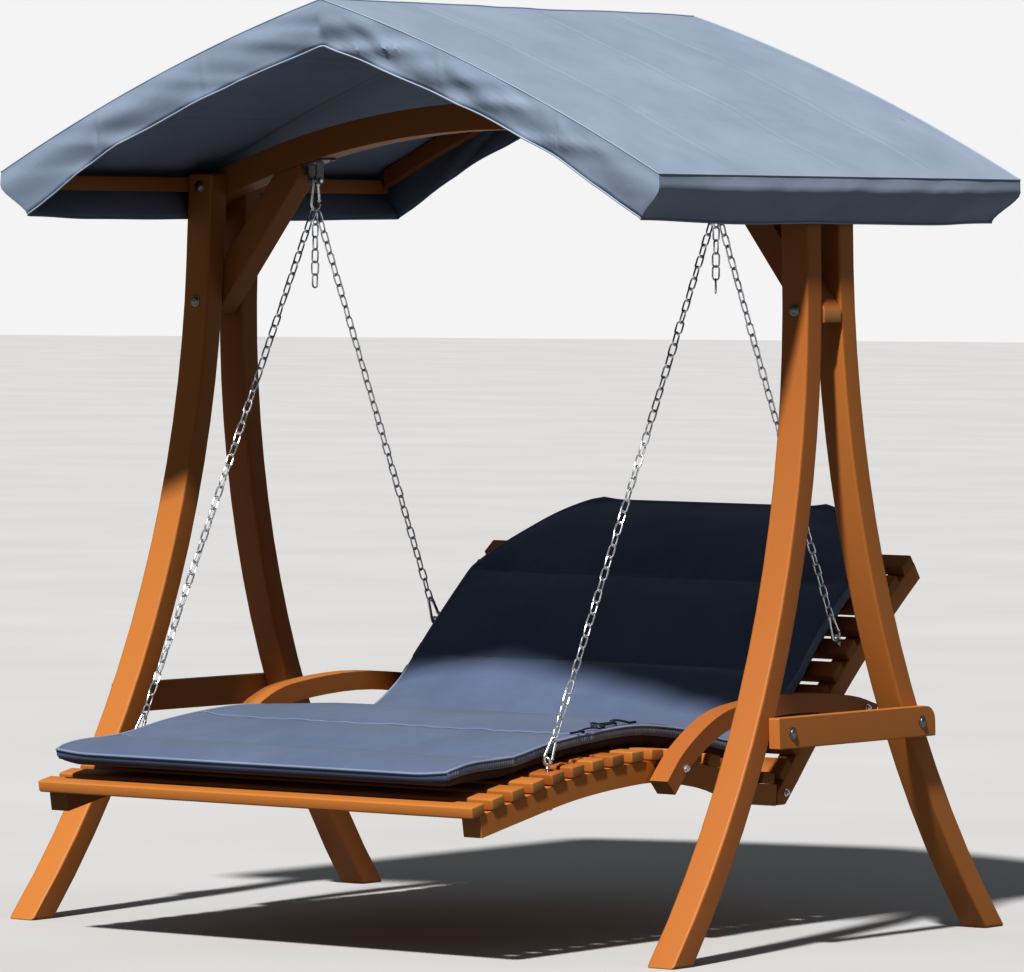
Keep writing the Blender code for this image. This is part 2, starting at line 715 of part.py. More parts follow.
def build_lounger():
    slats = [make_slat(f"seat_slat_{i + 1:02d}", seat_slat_place(i))
             for i in range(SEAT_SLATS)]
    panel = make_back_panel()
    front_place = seat_slat_place(FRONT_ANCHOR_SLAT)
    rear_place = back_slat_place(REAR_ANCHOR_SLAT)
    anchors = {"front": anchor_place(front_place)[1], "rear": anchor_place(rear_place)[1]}
    for side_name, side in SIDES:
        seat_rail = make_seat_rail(side_name, side)
        back_rail = make_back_rail(side_name, side)
        make_armrest(side_name, side)
        x = side * RAIL_MIDDLE
        make_eye_bolt(f"eye_bolt_front_{side_name}", x, front_place,
                      (slats[FRONT_ANCHOR_SLAT], seat_rail))
        make_eye_bolt(f"eye_bolt_rear_{side_name}", x, rear_place, (panel, back_rail))
        make_upper_hook(side_name, side)
        make_chains(side_name, side, anchors)
    make_cushion()


build_frame()
build_lounger()
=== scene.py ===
"""Looks of a canopy swing bench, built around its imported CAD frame.

X runs across the bench, its front faces -Y, and Z is up. All lengths are in metres.
"""

import json
import random
from math import asin, atan2, cos, exp, pi, radians, sin, sqrt

import bmesh
import bpy
import numpy as np
from mathutils import Matrix, Vector, noise
from mathutils.bvhtree import BVHTree


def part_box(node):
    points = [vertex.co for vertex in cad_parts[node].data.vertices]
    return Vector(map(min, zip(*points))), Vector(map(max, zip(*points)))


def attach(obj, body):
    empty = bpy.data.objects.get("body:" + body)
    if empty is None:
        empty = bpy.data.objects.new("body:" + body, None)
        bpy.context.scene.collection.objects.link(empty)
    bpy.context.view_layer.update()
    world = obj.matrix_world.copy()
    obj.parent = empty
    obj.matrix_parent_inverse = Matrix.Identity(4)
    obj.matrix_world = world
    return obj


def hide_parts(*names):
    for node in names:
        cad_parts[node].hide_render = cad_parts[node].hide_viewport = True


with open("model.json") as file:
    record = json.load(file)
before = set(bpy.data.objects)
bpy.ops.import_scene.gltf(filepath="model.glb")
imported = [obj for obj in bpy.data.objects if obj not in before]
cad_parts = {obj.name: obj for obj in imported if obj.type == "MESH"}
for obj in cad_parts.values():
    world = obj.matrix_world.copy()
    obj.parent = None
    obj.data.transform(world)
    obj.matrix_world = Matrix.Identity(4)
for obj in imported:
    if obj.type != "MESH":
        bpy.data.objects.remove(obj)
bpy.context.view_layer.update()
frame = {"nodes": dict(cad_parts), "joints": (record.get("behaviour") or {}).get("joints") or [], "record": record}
NODES = frame["nodes"]
JOINTS = {joint["name"]: joint for joint in frame["joints"]}
MID_Y = JOINTS["lounger_swing"]["pos_m"][1]
BODY_OF = {node: body for body, members in frame["record"]["behaviour"]["bodies"].items()
    for node in members}
SIDES = (("left", -1), ("right", 1))
ENDS = (("front", -1), ("rear", 1))

# ------------------------------------------------------------------ sizes
LINK_LENGTH, LINK_WIDTH, LINK_WIRE = 0.037, 0.020, 0.0021
LINK_PITCH = LINK_LENGTH - 4 * LINK_WIRE
HOOK_WIRE = 0.0035
UPPER_HOOK_WIDTH, LOWER_HOOK_WIDTH = 0.040, 0.038
CHAIN_REACH = (0.0105, 0.012)           # links run this far past a CAD chain, below and above
TAIL_REACH = (0.0, 0.004)               # the same for a spare tail
EYE_WIRE, EYE_RADIUS = 0.0035, 0.012
SHANK_PLAIN, THREAD_STEP = 0.012, 0.0006
LINK_SWAY, LINK_LEAN = 0.22, 0.02       # how far a loose link turns and tips
LOOSE_AFTER, LOOSE_OVER = 2, 4          # links below a hook that hang true, then come loose

ROOF_BULGE = 0.028
SKIRT_DROP = 0.106
SHEET_THICK = 0.0012
ROOF_CREASES = (0.36, 0.70)            # shares of the way from the ridge to the eave
CROSS_CREASES = (-0.40, 0.02, 0.41)    # distances from the middle of the roof, along Y

SEAMS = (-0.765, -0.455, 0.385, 0.618)  # sewn lines across the mat, along Y from the beam


# ------------------------------------------------------------------ small helpers
def dice(name):
    """A generator of random numbers that is always the same for one name."""
    return random.Random(name)


def welded(node):
    """The shape of a CAD node with its doubled corners merged."""
    shape = bmesh.new()
    shape.from_mesh(NODES[node].data)
    bmesh.ops.remove_doubles(shape, verts=shape.verts, dist=1e-5)
    bmesh.ops.recalc_face_normals(shape, faces=shape.faces)
    return shape


def cad_mesh(node, name):
    """A new mesh with the welded shape of a CAD node."""
    mesh = bpy.data.meshes.new(name)
    shape = welded(node)
    shape.to_mesh(mesh)
    shape.free()
    return mesh


def corners_of(mesh):
    return np.array([v.co for v in mesh.vertices])


def main_axes(points):
    """The mean of some points and their long, middle and short directions."""
    centre = points.mean(0)
    return centre, np.linalg.svd(points - centre, full_matrices=False)[2]


def middle_of(node):
    low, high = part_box(node)
    return (low + high) / 2


def smooth(value, low=0.0, high=1.0):
    """0 below low, 1 above high, and a soft step between them."""
    t = min(max((value - low) / (high - low), 0.0), 1.0)
    return t * t * (3 - 2 * t)


def added(name, data):
    """A new object in the scene."""
    obj = bpy.data.objects.new(name, data)
    bpy.context.scene.collection.objects.link(obj)
    return obj


def facing(point, direction, spin=0.0):
    """The placement that turns +Z along a direction and moves the origin to a point."""
    turn = Vector(direction).to_track_quat("Z", "Y").to_matrix().to_4x4()
    return Matrix.Translation(point) @ turn @ Matrix.Rotation(spin, 4, "Z")


class Shape:
    """Corners and faces gathered from several simple forms."""

    def __init__(self):
        self.verts, self.faces, self.slots = [], [], []

    def add(self, form, place=None, slot=0):
        verts, faces = form
        start = len(self.verts)
        place = place or Matrix.Identity(4)
        self.verts += [place @ Vector(v) for v in verts]
        self.faces += [[start + i for i in face] for face in faces]
        self.slots += [slot] * len(faces)
        return self

    def mesh(self, name):
        mesh = bpy.data.meshes.new(name)
        mesh.from_pydata(self.verts, [], self.faces)
        mesh.polygons.foreach_set("material_index", self.slots)
        return mesh


def crease(mesh, angle):
    """Shade smooth, but keep the edges that are sharper than an angle."""
    shape = bmesh.new()
    shape.from_mesh(mesh)
    for face in shape.faces:
        face.smooth = True
    for edge in shape.edges:
        edge.smooth = edge.is_boundary or edge.calc_face_angle(0.0) < angle
    shape.to_mesh(mesh)
    shape.free()


def piece(name, mesh, materials, body, nodes=(), angle=radians(50)):
    """A finished object that rides on a body and stands for some CAD nodes."""
    crease(mesh, angle)
    obj = added(name, mesh)
    for material in materials:
        mesh.materials.append(material)
    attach(obj, body)
    if nodes:
        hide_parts(*nodes)
    return obj


def ring_faces(rings, sides, closed=False):
    """Faces between rings of corners, with flat ends unless the last ring meets the first."""
    faces = []
    for i in range(rings if closed else rings - 1):
        j = (i + 1) % rings
        for k in range(sides):
            m = (k + 1) % sides
            faces.append([i * sides + k, i * sides + m, j * sides + m, j * sides + k])
    if not closed:
        faces.append(list(range(sides))[::-1])
        faces.append([(rings - 1) * sides + k for k in range(sides)])
    return faces


def tube(path, radius, sides=8, closed=False, flat=1.0):
    """A round bar along a path. flat squeezes it along the path's own normal."""
    points = [Vector(p) for p in path]
    count = len(points)
    verts, normal = [], None
    for i, point in enumerate(points):
        if closed:
            run = points[(i + 1) % count] - points[i - 1]
        else:
            run = points[min(i + 1, count - 1)] - points[max(i - 1, 0)]
        run.normalize()
        if normal is None:
            normal = run.orthogonal()
        normal = (normal - run * normal.dot(run)).normalized()
        across = run.cross(normal)
        for k in range(sides):
            turn = 2 * pi * k / sides
            verts.append(point + radius * (cos(turn) * normal * flat + sin(turn) * across))
    return verts, ring_faces(count, sides, closed)


def lathe(profile, sides):
    """A closed turned form about Z from (radius, height) pairs, bottom to top."""
    turns = [2 * pi * k / sides for k in range(sides)]
    verts = [(radius * cos(turn), radius * sin(turn), height) for radius, height in profile
        for turn in turns]
    return verts, ring_faces(len(profile), sides)


def arc(centre, radius, start, end, steps):
    """Points of an arc in the XZ plane."""
    return [Vector((centre[0] + radius * cos(start + (end - start) * i / steps), 0.0, centre[1]
        + radius * sin(start + (end - start) * i / steps))) for i in range(steps + 1)]


# ------------------------------------------------------------------ materials
def put(tree, kind, inputs=None, **settings):
    """A new shader node. Inputs are numbers, or outputs of other nodes to link."""
    node = tree.nodes.new("ShaderNode" + kind)
    for key, value in settings.items():
        setattr(node, key, value)
    for key, value in (inputs or {}).items():
        if isinstance(value, bpy.types.NodeSocket):
            tree.links.new(value, node.inputs[key])
        else:
            node.inputs[key].default_value = value
    return node


def new_material(name, **constants):
    material = bpy.data.materials.new(name)
    material.use_nodes = True
    tree = material.node_tree
    shader = tree.nodes["Principled BSDF"]
    for key, value in constants.items():
        shader.inputs[key.replace("_", " ")].default_value = value
    return material, tree, shader


def attribute(tree, name, output="Vector"):
    return put(tree, "Attribute", attribute_name=name).outputs[output]


def stretched(tree, vector, scale):
    return put(tree, "Mapping", {"Vector": vector, "Scale": scale}).outputs["Vector"]


def mottle(tree, vector, scale=1.0, detail=3.0, rough=0.5, distortion=0.0):
    return put(tree, "TexNoise", {"Vector": vector, "Scale": scale, "Detail": detail,
        "Roughness": rough, "Distortion": distortion}).outputs["Fac"]


def ramp(tree, factor, stops):
    node = put(tree, "ValToRGB", {"Fac": factor})
    elements = node.color_ramp.elements
    while len(elements) < len(stops):
        elements.new(0.5)
    for element, (position, colour) in zip(elements, stops):
        element.position = position
        element.color = (*colour, 1.0)
    return node.outputs["Color"]


def remap(tree, value, low, high, to_low, to_high):
    return put(tree, "MapRange", {"Value": value, "From Min": low, "From Max": high, "To Min": to_low,
        "To Max": to_high}).outputs["Result"]


def maths(tree, operation, a, b=0.0):
    node = put(tree, "Math", operation=operation)
    for socket, value in zip(node.inputs, (a, b)):
        if isinstance(value, bpy.types.NodeSocket):
            tree.links.new(value, socket)
        else:
            socket.default_value = value
    return node.outputs[0]


def blended(tree, mode, factor, a, b):
    """Two colours mixed. Each of them is an output or a plain colour."""
    node = put(tree, "Mix", data_type="RGBA", blend_type=mode)
    for key, value in ((0, factor), (6, a), (7, b)):
        if isinstance(value, bpy.types.NodeSocket):
            tree.links.new(value, node.inputs[key])
        else:
            node.inputs[key].default_value = value if key == 0 else (*value, 1.0)
    return node.outputs[2]


def bumped(tree, shader, height, strength, distance):
    bump = put(tree, "Bump", {"Height": height, "Strength": strength, "Distance": distance})
    tree.links.new(bump.outputs["Normal"], shader.inputs["Normal"])


def coloured(tree, shader, colour, roughness):
    tree.links.new(colour, shader.inputs["Base Color"])
    tree.links.new(roughness, shader.inputs["Roughness"])


def larch_material():
    """Oiled larch, seen along the grain: streaks, growth rings, fibres and a few knots."""
    material, tree, shader = new_material("larch", Specular_IOR_Level=0.3)
    grain = attribute(tree, "grain")
    tone = attribute(tree, "tone", "Fac")
    streaks = mottle(tree, stretched(tree, grain, (1.3, 46.0, 46.0)), 1.0, 5.0, 0.6, 0.5)
    rings = put(tree, "TexWave", {"Vector": stretched(tree, grain, (0.8, 34.0, 34.0)), "Scale": 1.6,
        "Distortion": 5.0, "Detail": 2.0, "Detail Scale": 0.8},
        bands_direction="DIAGONAL").outputs["Fac"]
    fibres = mottle(tree, stretched(tree, grain, (14.0, 700.0, 700.0)), 1.0, 2.0, 0.6)
    colour = ramp(tree, streaks, [(0.30, (0.24, 0.074, 0.016)), (0.50, (0.47, 0.198, 0.058)), (0.70,
        (0.72, 0.385, 0.145))])
    colour = blended(tree, "MULTIPLY", maths(tree, "MULTIPLY", rings, 0.62), colour, (0.66, 0.50, 0.38))
    colour = blended(tree, "MULTIPLY", remap(tree, fibres, 0.4, 0.75, 0.0, 0.35), colour, (0.62, 0.50,
        0.42))
    flat = put(tree, "SeparateXYZ", {"Vector": grain})
    round_board = maths(tree, "ADD", flat.outputs["Y"], flat.outputs["Z"])
    knot_at = put(tree, "CombineXYZ", {"X": maths(tree, "MULTIPLY", flat.outputs["X"], 6.0),
        "Y": maths(tree, "MULTIPLY", round_board, 11.0)})
    knots = put(tree, "TexVoronoi", {"Vector": knot_at.outputs["Vector"], "Scale": 1.0},
        voronoi_dimensions="2D")
    rare = put(tree, "SeparateXYZ", {"Vector": knots.outputs["Color"]}).outputs["X"]
    near = remap(tree, knots.outputs["Distance"], 0.05, 0.15, 1.0, 0.0)
    knot = maths(tree, "MULTIPLY", near, maths(tree, "GREATER_THAN", rare, 0.86))
    colour = blended(tree, "MIX", maths(tree, "MULTIPLY", knot, 0.75), colour, (0.16, 0.050, 0.014))
    shade = put(tree, "HueSaturation", {"Value": remap(tree, tone, -1.0, 1.0, 0.80, 1.14),
        "Hue": remap(tree, tone, -1.0, 1.0, 0.494, 0.505), "Color": colour})
    coloured(tree, shader, shade.outputs["Color"], remap(tree, streaks, 0.25, 0.75, 0.56, 0.42))
    height = maths(tree, "ADD", maths(tree, "MULTIPLY", rings, 0.4), fibres)
    bumped(tree, shader, height, 0.22, 0.0006)
    return material


def end_grain_material():
    """The sawn end of a board: arcs of growth rings, paler and rougher than its faces."""
    material, tree, shader = new_material("larch_end", Specular_IOR_Level=0.25)
    grain = attribute(tree, "grain")
    tone = attribute(tree, "tone", "Fac")
    centre = put(tree, "Mapping", {"Vector": grain, "Location": (0.0, 0.75, 0.45), "Scale": (0.0, 18.0,
        18.0)}).outputs["Vector"]
    rings = put(tree, "TexWave", {"Vector": centre, "Scale": 1.9, "Distortion": 1.6, "Detail": 2.0,
        "Detail Scale": 1.5}, wave_type="RINGS", rings_direction="X").outputs["Fac"]
    pores = mottle(tree, stretched(tree, grain, (0.0, 500.0, 500.0)), 1.0, 2.0, 0.6)
    colour = ramp(tree, rings, [(0.1, (0.47, 0.29, 0.135)), (0.65, (0.40, 0.22, 0.09)), (1.0, (0.25,
        0.115, 0.04))])
    colour = blended(tree, "MULTIPLY", remap(tree, pores, 0.35, 0.7, 0.0, 0.5), colour, (0.6, 0.52,
        0.45))
    shade = put(tree, "HueSaturation", {"Value": remap(tree, tone, -1.0, 1.0, 0.75, 1.15),
        "Color": colour})
    coloured(tree, shader, shade.outputs["Color"], remap(tree, pores, 0.3, 0.7, 0.65, 0.85))
    bumped(tree, shader, pores, 0.4, 0.0006)
    return material


def metal_material(name, dark, light, rough_low, rough_high):
    """Zinc-coated steel with a spangle of lighter and darker patches."""
    material, tree, shader = new_material(name, Metallic=1.0)
    place = put(tree, "TexCoord").outputs["Object"]
    patches = mottle(tree, place, 420.0, 3.0, 0.6)
    spangle = put(tree, "TexVoronoi", {"Vector": place, "Scale": 260.0}).outputs["Distance"]
    mixed = maths(tree, "ADD", maths(tree, "MULTIPLY", patches, 0.7), maths(tree, "MULTIPLY", spangle,
        0.4))
    coloured(tree, shader, ramp(tree, mixed, [(0.30, dark), (0.72, light)]), remap(tree, patches, 0.3,
        0.7, rough_low, rough_high))
    bumped(tree, shader, patches, 0.12, 0.0003)
    return material


def cloth_material(name, dark, middle, light, pitch, sheen, rough=0.85, strength=0.3):
    """A plain weave that follows the sheet, a little faded and mottled."""
    material, tree, shader = new_material(name, Sheen_Weight=sheen, Sheen_Roughness=0.45,
        Specular_IOR_Level=0.22)
    flat = attribute(tree, "cloth")
    scale = 2 * pi / 20 / pitch
    warp, weft = (put(tree, "TexWave", {"Vector": flat, "Scale": scale, "Distortion": 0.25,
        "Detail": 1.0, "Detail Scale": 2.0}, bands_direction=axis).outputs["Fac"] for axis in "XY")
    weave = maths(tree, "MULTIPLY", warp, weft)
    fading = mottle(tree, flat, 3.2, 4.0, 0.6, 0.4)
    slubs = mottle(tree, stretched(tree, flat, (30.0, 420.0, 30.0)), 1.0, 2.0, 0.6)
    colour = ramp(tree, fading, [(0.28, dark), (0.52, middle), (0.78, light)])
    colour = blended(tree, "MULTIPLY", remap(tree, slubs, 0.35, 0.72, 0.0, 0.30), colour, (0.78, 0.79,
        0.82))
    colour = blended(tree, "MULTIPLY", remap(tree, weave, 0.0, 0.7, 0.24, 0.0), colour, (0.62, 0.64,
        0.68))
    coloured(tree, shader, colour, remap(tree, slubs, 0.3, 0.7, rough, rough - 0.10))
    bumped(tree, shader, maths(tree, "ADD", weave, maths(tree, "MULTIPLY", slubs, 0.5)), strength,
        0.0006)
    return material


def floor_material():
    material, tree, shader = new_material("studio_floor", Specular_IOR_Level=0.1)
    place = put(tree, "TexCoord").outputs["Object"]
    tint = ramp(tree, mottle(tree, place, 0.7, 2.0), [(0.3, (0.45, 0.45, 0.45)), (0.7, (0.48, 0.48,
        0.485))])
    tree.links.new(tint, shader.inputs["Base Color"])
    shader.inputs["Roughness"].default_value = 0.9
    return material


LARCH = larch_material()
END_GRAIN = end_grain_material()
GALVANISED = metal_material("galvanised", (0.42, 0.45, 0.47), (0.78, 0.80, 0.82), 0.24, 0.42)
DARK_ZINC = metal_material("dark_zinc", (0.10, 0.10, 0.105), (0.26, 0.26, 0.27), 0.35, 0.55)
CANOPY = cloth_material("canopy_cloth", (0.235, 0.285, 0.370), (0.268, 0.322, 0.410), (0.300, 0.356,
    0.445), 0.0024, 0.25, 0.72)
CANOPY_TAPE = cloth_material("canopy_tape", (0.30, 0.36, 0.45), (0.34, 0.40, 0.49), (0.38, 0.44, 0.53),
    0.0024, 0.2, 0.75)
CUSHION = cloth_material("cushion_cloth", (0.092, 0.122, 0.196), (0.110, 0.144, 0.224), (0.130, 0.166,
    0.250), 0.0030, 0.35)
# A lighter copy of the cushion cloth: painted highlight on the sunlit far walls of the seat seams.
SEAT_SEAM_HIGHLIGHT = cloth_material("cushion_seam_highlight", (0.15, 0.19, 0.30), (0.18, 0.22, 0.33), (0.21, 0.25, 0.36),
    0.0030, 0.3)
PIPING = cloth_material("cushion_piping", (0.17, 0.22, 0.31), (0.21, 0.26, 0.35), (0.25, 0.30, 0.39),
    0.0024, 0.3)
UNDERSIDE = cloth_material("cushion_underside", (0.050, 0.028, 0.020), (0.066, 0.038, 0.028), (0.085,
    0.050, 0.038), 0.0030, 0.15)
TIE_TAPE = cloth_material("tie_tape", (0.010, 0.013, 0.030), (0.014, 0.018, 0.040), (0.022, 0.028,
    0.055), 0.0020, 0.2)

# ------------------------------------------------------------------ camera, floor and light
SENSOR, FOCAL_LENGTH = 36.0, 267.05     # in millimetres
FLOOR_RADIUS = 90.0
CAMERA_AT = Vector((10.434, MID_Y - 14.486, 1.649))
CAMERA_YAW, CAMERA_PITCH, CAMERA_ROLL = radians(35.78), radians(-1.99), radians(0.42)
CAMERA_SHIFT = 0.0039
SUN_FROM = Vector((0.20, -0.775, 1.0))
SUN_WIDTH = radians(3.5)
SUN_POWER, SKY_POWER, BACKDROP_POWER = 4.1, 0.19, 0.66


def make_camera():
    camera = added("camera", bpy.data.cameras.new("camera"))
    camera.data.lens = FOCAL_LENGTH
    camera.data.sensor_width = SENSOR
    camera.data.shift_x = CAMERA_SHIFT
    camera.data.clip_end = 200.0
    forward = Vector((-sin(CAMERA_YAW) * cos(CAMERA_PITCH), cos(CAMERA_YAW) * cos(CAMERA_PITCH),
        sin(CAMERA_PITCH)))
    level = Vector((cos(CAMERA_YAW), sin(CAMERA_YAW), 0.0))
    upright = level.cross(forward)
    right = cos(CAMERA_ROLL) * level + sin(CAMERA_ROLL) * upright
    up = right.cross(forward)
    camera.matrix_world = (Matrix.Translation(CAMERA_AT) @ Matrix((right, up,
        -forward)).transposed().to_4x4())
    bpy.context.scene.camera = camera


def make_stage():
    """A wide pale floor, one soft key light and an even sky."""
    mesh = bpy.data.meshes.new("studio_floor")
    shape = bmesh.new()
    bmesh.ops.create_circle(shape, cap_ends=True, segments=96, radius=FLOOR_RADIUS)
    shape.to_mesh(mesh)
    shape.free()
    mesh.materials.append(floor_material())
    floor = added("studio_floor", mesh)
    floor.visible_diffuse = False
    sun = added("key_light", bpy.data.lights.new("key_light", "SUN"))
    sun.data.energy = SUN_POWER
    sun.data.angle = SUN_WIDTH
    sun.data.color = (1.0, 0.975, 0.94)
    sun.matrix_world = facing((0, 0, 5), SUN_FROM)
    world = bpy.data.worlds.new("studio")
    bpy.context.scene.world = world
    world.use_nodes = True
    tree = world.node_tree
    sky = tree.nodes["Background"]
    sky.inputs["Color"].default_value = (0.90, 0.95, 1.0, 1.0)
    sky.inputs["Strength"].default_value = SKY_POWER
    backdrop = put(tree, "Background", {"Color": (0.97, 0.97, 0.97, 1.0), "Strength": BACKDROP_POWER})
    seen = put(tree, "LightPath").outputs["Is Camera Ray"]
    both = put(tree, "MixShader", {"Fac": seen})
    tree.links.new(sky.outputs[0], both.inputs[1])
    tree.links.new(backdrop.outputs[0], both.inputs[2])
    tree.links.new(both.outputs[0], tree.nodes["World Output"].inputs["Surface"])
    bpy.context.scene.view_settings.view_transform = "Standard"
    bpy.context.scene.view_settings.look = "High Contrast"


# ------------------------------------------------------------------ timber
SLAT_WIDTH, BACK_SLATS = 0.050, 10
SLAT_TIPS_X = 0.6           # only the slats' own ends lie further out than this
BATTEN_HALF = 0.0226
SAWN_END = 0.80             # a face this square to the grain is end grain


def grain_lines(points):
    """The long axes of a board and a smooth centreline through its corners."""
    centre, axes = main_axes(points)
    local = (points - centre) @ axes.T
    bend = [np.polyfit(local[:, 0], local[:, i], 3) for i in (1, 2)]
    return centre, axes, bend


def lay_grain(mesh, seed):
    """Store where each face corner lies in its board, and mark the sawn ends."""
    points = corners_of(mesh)
    centre, axes, bend = grain_lines(points)
    local = (points - centre) @ axes.T
    for i in (1, 2):
        local[:, i] -= np.polyval(bend[i - 1], local[:, 0])
    chance = dice(seed)
    shift = np.array([chance.uniform(0, 40), chance.uniform(0, 3), chance.uniform(0, 3)])
    grain = mesh.attributes.new("grain", "FLOAT_VECTOR", "CORNER")
    tone = mesh.attributes.new("tone", "FLOAT", "CORNER")
    corners = np.array([loop.vertex_index for loop in mesh.loops])
    grain.data.foreach_set("vector", (local[corners] + shift).astype(np.float32).ravel())
    tone.data.foreach_set("value", np.full(len(corners), chance.uniform(-1, 1), np.float32))
    slopes = [np.polyder(line) for line in bend]
    for face in mesh.polygons:
        s = (np.array(face.center) - centre) @ axes[0]
        run = axes[0] + sum(np.polyval(slopes[i], s) * axes[i + 1] for i in (0, 1))
        run /= np.linalg.norm(run)
        face.material_index = int(abs(np.dot(run, np.array(face.normal))) > SAWN_END)


def finish_board(node, mesh):
    board = piece("larch_" + node, mesh, (LARCH, END_GRAIN), BODY_OF[node], [node])
    board.modifiers.new("even shading", "WEIGHTED_NORMAL").keep_sharp = True


def timber(node):
    """A CAD board with its grain, sawn ends and softened edges."""
    mesh = cad_mesh(node, "larch_" + node)
    lay_grain(mesh, node)
    finish_board(node, mesh)


def make_back_panel():
    """Ten slats and a batten: each keeps its own grain in one mesh."""
    node = "back_slats"
    mesh = cad_mesh(node, "larch_" + node)
    points = corners_of(mesh)
    wide = points[np.abs(points[:, 0]) > SLAT_TIPS_X]
    centre = wide.mean(0)
    _, _, axes = np.linalg.svd((wide - centre)[:, 1:], full_matrices=False)
    up_back = axes[0] * np.sign(axes[0][1])
    height = (wide - centre)[:, 1:] @ up_back
    lowest, highest = height.min(), height.max()
    pitch = (highest - lowest - SLAT_WIDTH) / (BACK_SLATS - 1)
    grain = mesh.attributes.new("grain", "FLOAT_VECTOR", "CORNER")
    tone = mesh.attributes.new("tone", "FLOAT", "CORNER")
    for face in mesh.polygons:
        middle = np.array(face.center)
        h = (middle - centre)[1:] @ up_back
        row = int(np.clip(round((h - lowest - SLAT_WIDTH / 2) / pitch), 0, BACK_SLATS - 1))
        on_batten = max(abs(mesh.vertices[i].co.x) for i in face.vertices) < BATTEN_HALF
        chance = dice("batten" if on_batten else f"back slat {row}")
        shift = (chance.uniform(0, 40), chance.uniform(0, 3), chance.uniform(0, 3))
        shade = chance.uniform(-1, 1)
        for corner in face.loop_indices:
            co = np.array(mesh.vertices[mesh.loops[corner].vertex_index].co)
            along = (co - centre)[1:] @ up_back
            proud = (co - centre)[1:] @ np.array((-up_back[1], up_back[0]))
            place = (along, co[0], proud) if on_batten else (co[0], along, proud)
            grain.data[corner].vector = [a + b for a, b in zip(place, shift)]
            tone.data[corner].value = shade
        face.material_index = int(abs(face.normal.x) > SAWN_END and not on_batten)
    finish_board(node, mesh)


def make_timber():
    metal = ("hanger", "upper_hook", "lower_hook", "chain", "eye_bolt")
    soft = ("canopy_cover", "cushion", "back_slats")
    for node in sorted(NODES):
        if not node.startswith(metal + soft):
            timber(node)
    make_back_panel()


# ------------------------------------------------------------------ chains, hooks and bolts
def link_form():
    """One welded chain link, long axis on Z, flat in the XZ plane."""
    radius = LINK_WIDTH / 2 - LINK_WIRE
    half = LINK_LENGTH / 2 - LINK_WIRE - radius
    path = arc((0, half), radius, 0, pi, 7) + arc((0, -half), radius, pi, 2 * pi, 7)
    return tube(path, LINK_WIRE, 7, closed=True)


def rod_ends(node):
    """The two ends of a straight CAD rod, lower one first."""
    points = corners_of(NODES[node].data)
    centre, axes = main_axes(points)
    run = axes[0] * np.sign(axes[0][2])
    reach = (points - centre) @ run
    return Vector(centre + run * reach.min()), Vector(centre + run * reach.max()), Vector(run)


def make_chain(node, low_gain, high_gain, turned=0):
    """Links in turn, flat and edge on, along a CAD chain. Near its top they hang true."""
    low, high, run = rod_ends(node)
    low, high = low - run * low_gain, high + run * high_gain
    count = max(2, round((high - low).length / LINK_PITCH))
    pitch = (high - low).length / count
    chance = dice(node)
    shape = Shape()
    form = link_form()
    for i in range(count):
        from_top = count - 1 - i
        loose = min(1.0, max(0, from_top - LOOSE_AFTER) / LOOSE_OVER)
        spin = ((from_top + turned) % 2) * pi / 2
        spin += chance.uniform(-LINK_SWAY, LINK_SWAY) * loose
        lean = Vector((chance.uniform(-1, 1), chance.uniform(-1, 1), 0)) * LINK_LEAN * loose
        shape.add(form, facing(low + run * pitch * (i + 0.5), run + lean, spin))
    mesh = shape.mesh("links_" + node)
    piece("links_" + node, mesh, (GALVANISED,), BODY_OF[node], [node])


def snap_hook_form(width, length):
    """A pear-shaped spring hook, hung from its own origin: wire, gate, rivet and nose."""
    big = width / 2 - HOOK_WIRE
    small = big * 0.52
    top, bottom = -HOOK_WIRE - small, -length + HOOK_WIRE + big
    lean = asin((big - small) / (top - bottom))
    wire = arc((0, bottom), big, -lean, -pi + lean, 14)
    wire += arc((0, top), small, pi + lean, -0.15, 10)
    gate = [wire[-1] * 0.985, wire[0]]
    nose = gate[0] + (gate[1] - gate[0]) * 0.16
    hinge = gate[0] + (gate[1] - gate[0]) * 0.86
    shape = Shape()
    shape.add(tube(wire + [hinge], HOOK_WIRE, 10))
    inward = Vector((-0.0008, 0, 0))
    gate_path = [gate[0] + (gate[1] - gate[0]) * t + inward for t in (0.10, 0.3, 0.6, 0.93)]
    shape.add(tube(gate_path, HOOK_WIRE * 0.80, 10))
    rivet = lathe([(0.0021, -0.0045), (0.0026, -0.0042), (0.0026, 0.0042), (0.0021, 0.0045)], 10)
    for point in (hinge, nose):
        shape.add(rivet, facing(point, (0, 1, 0)))
    return shape.verts, shape.faces


def ring_place(node):
    """Where a CAD hook hangs: top end, long axis down, and its flat side's normal."""
    points = corners_of(NODES[node].data)
    centre = (points.max(0) + points.min(0)) / 2
    _, axes = main_axes(points)
    up = axes[0] * np.sign(axes[0][2])
    reach = (points - centre) @ up
    top = Vector(centre + up * reach.max())
    across = Vector(axes[1])
    normal = Vector(up).cross(across)
    turn = Matrix((across, normal, Vector(up))).transposed()
    if turn.determinant() < 0:
        turn = Matrix((-across, normal, Vector(up))).transposed()
    return Matrix.Translation(top) @ turn.to_4x4(), reach.max() - reach.min()


def make_hook(node, width):
    place, length = ring_place(node)
    shape = Shape().add(snap_hook_form(width, length), place)
    mesh = shape.mesh("snap_" + node)
    piece("snap_" + node, mesh, (GALVANISED,), BODY_OF[node], [node])


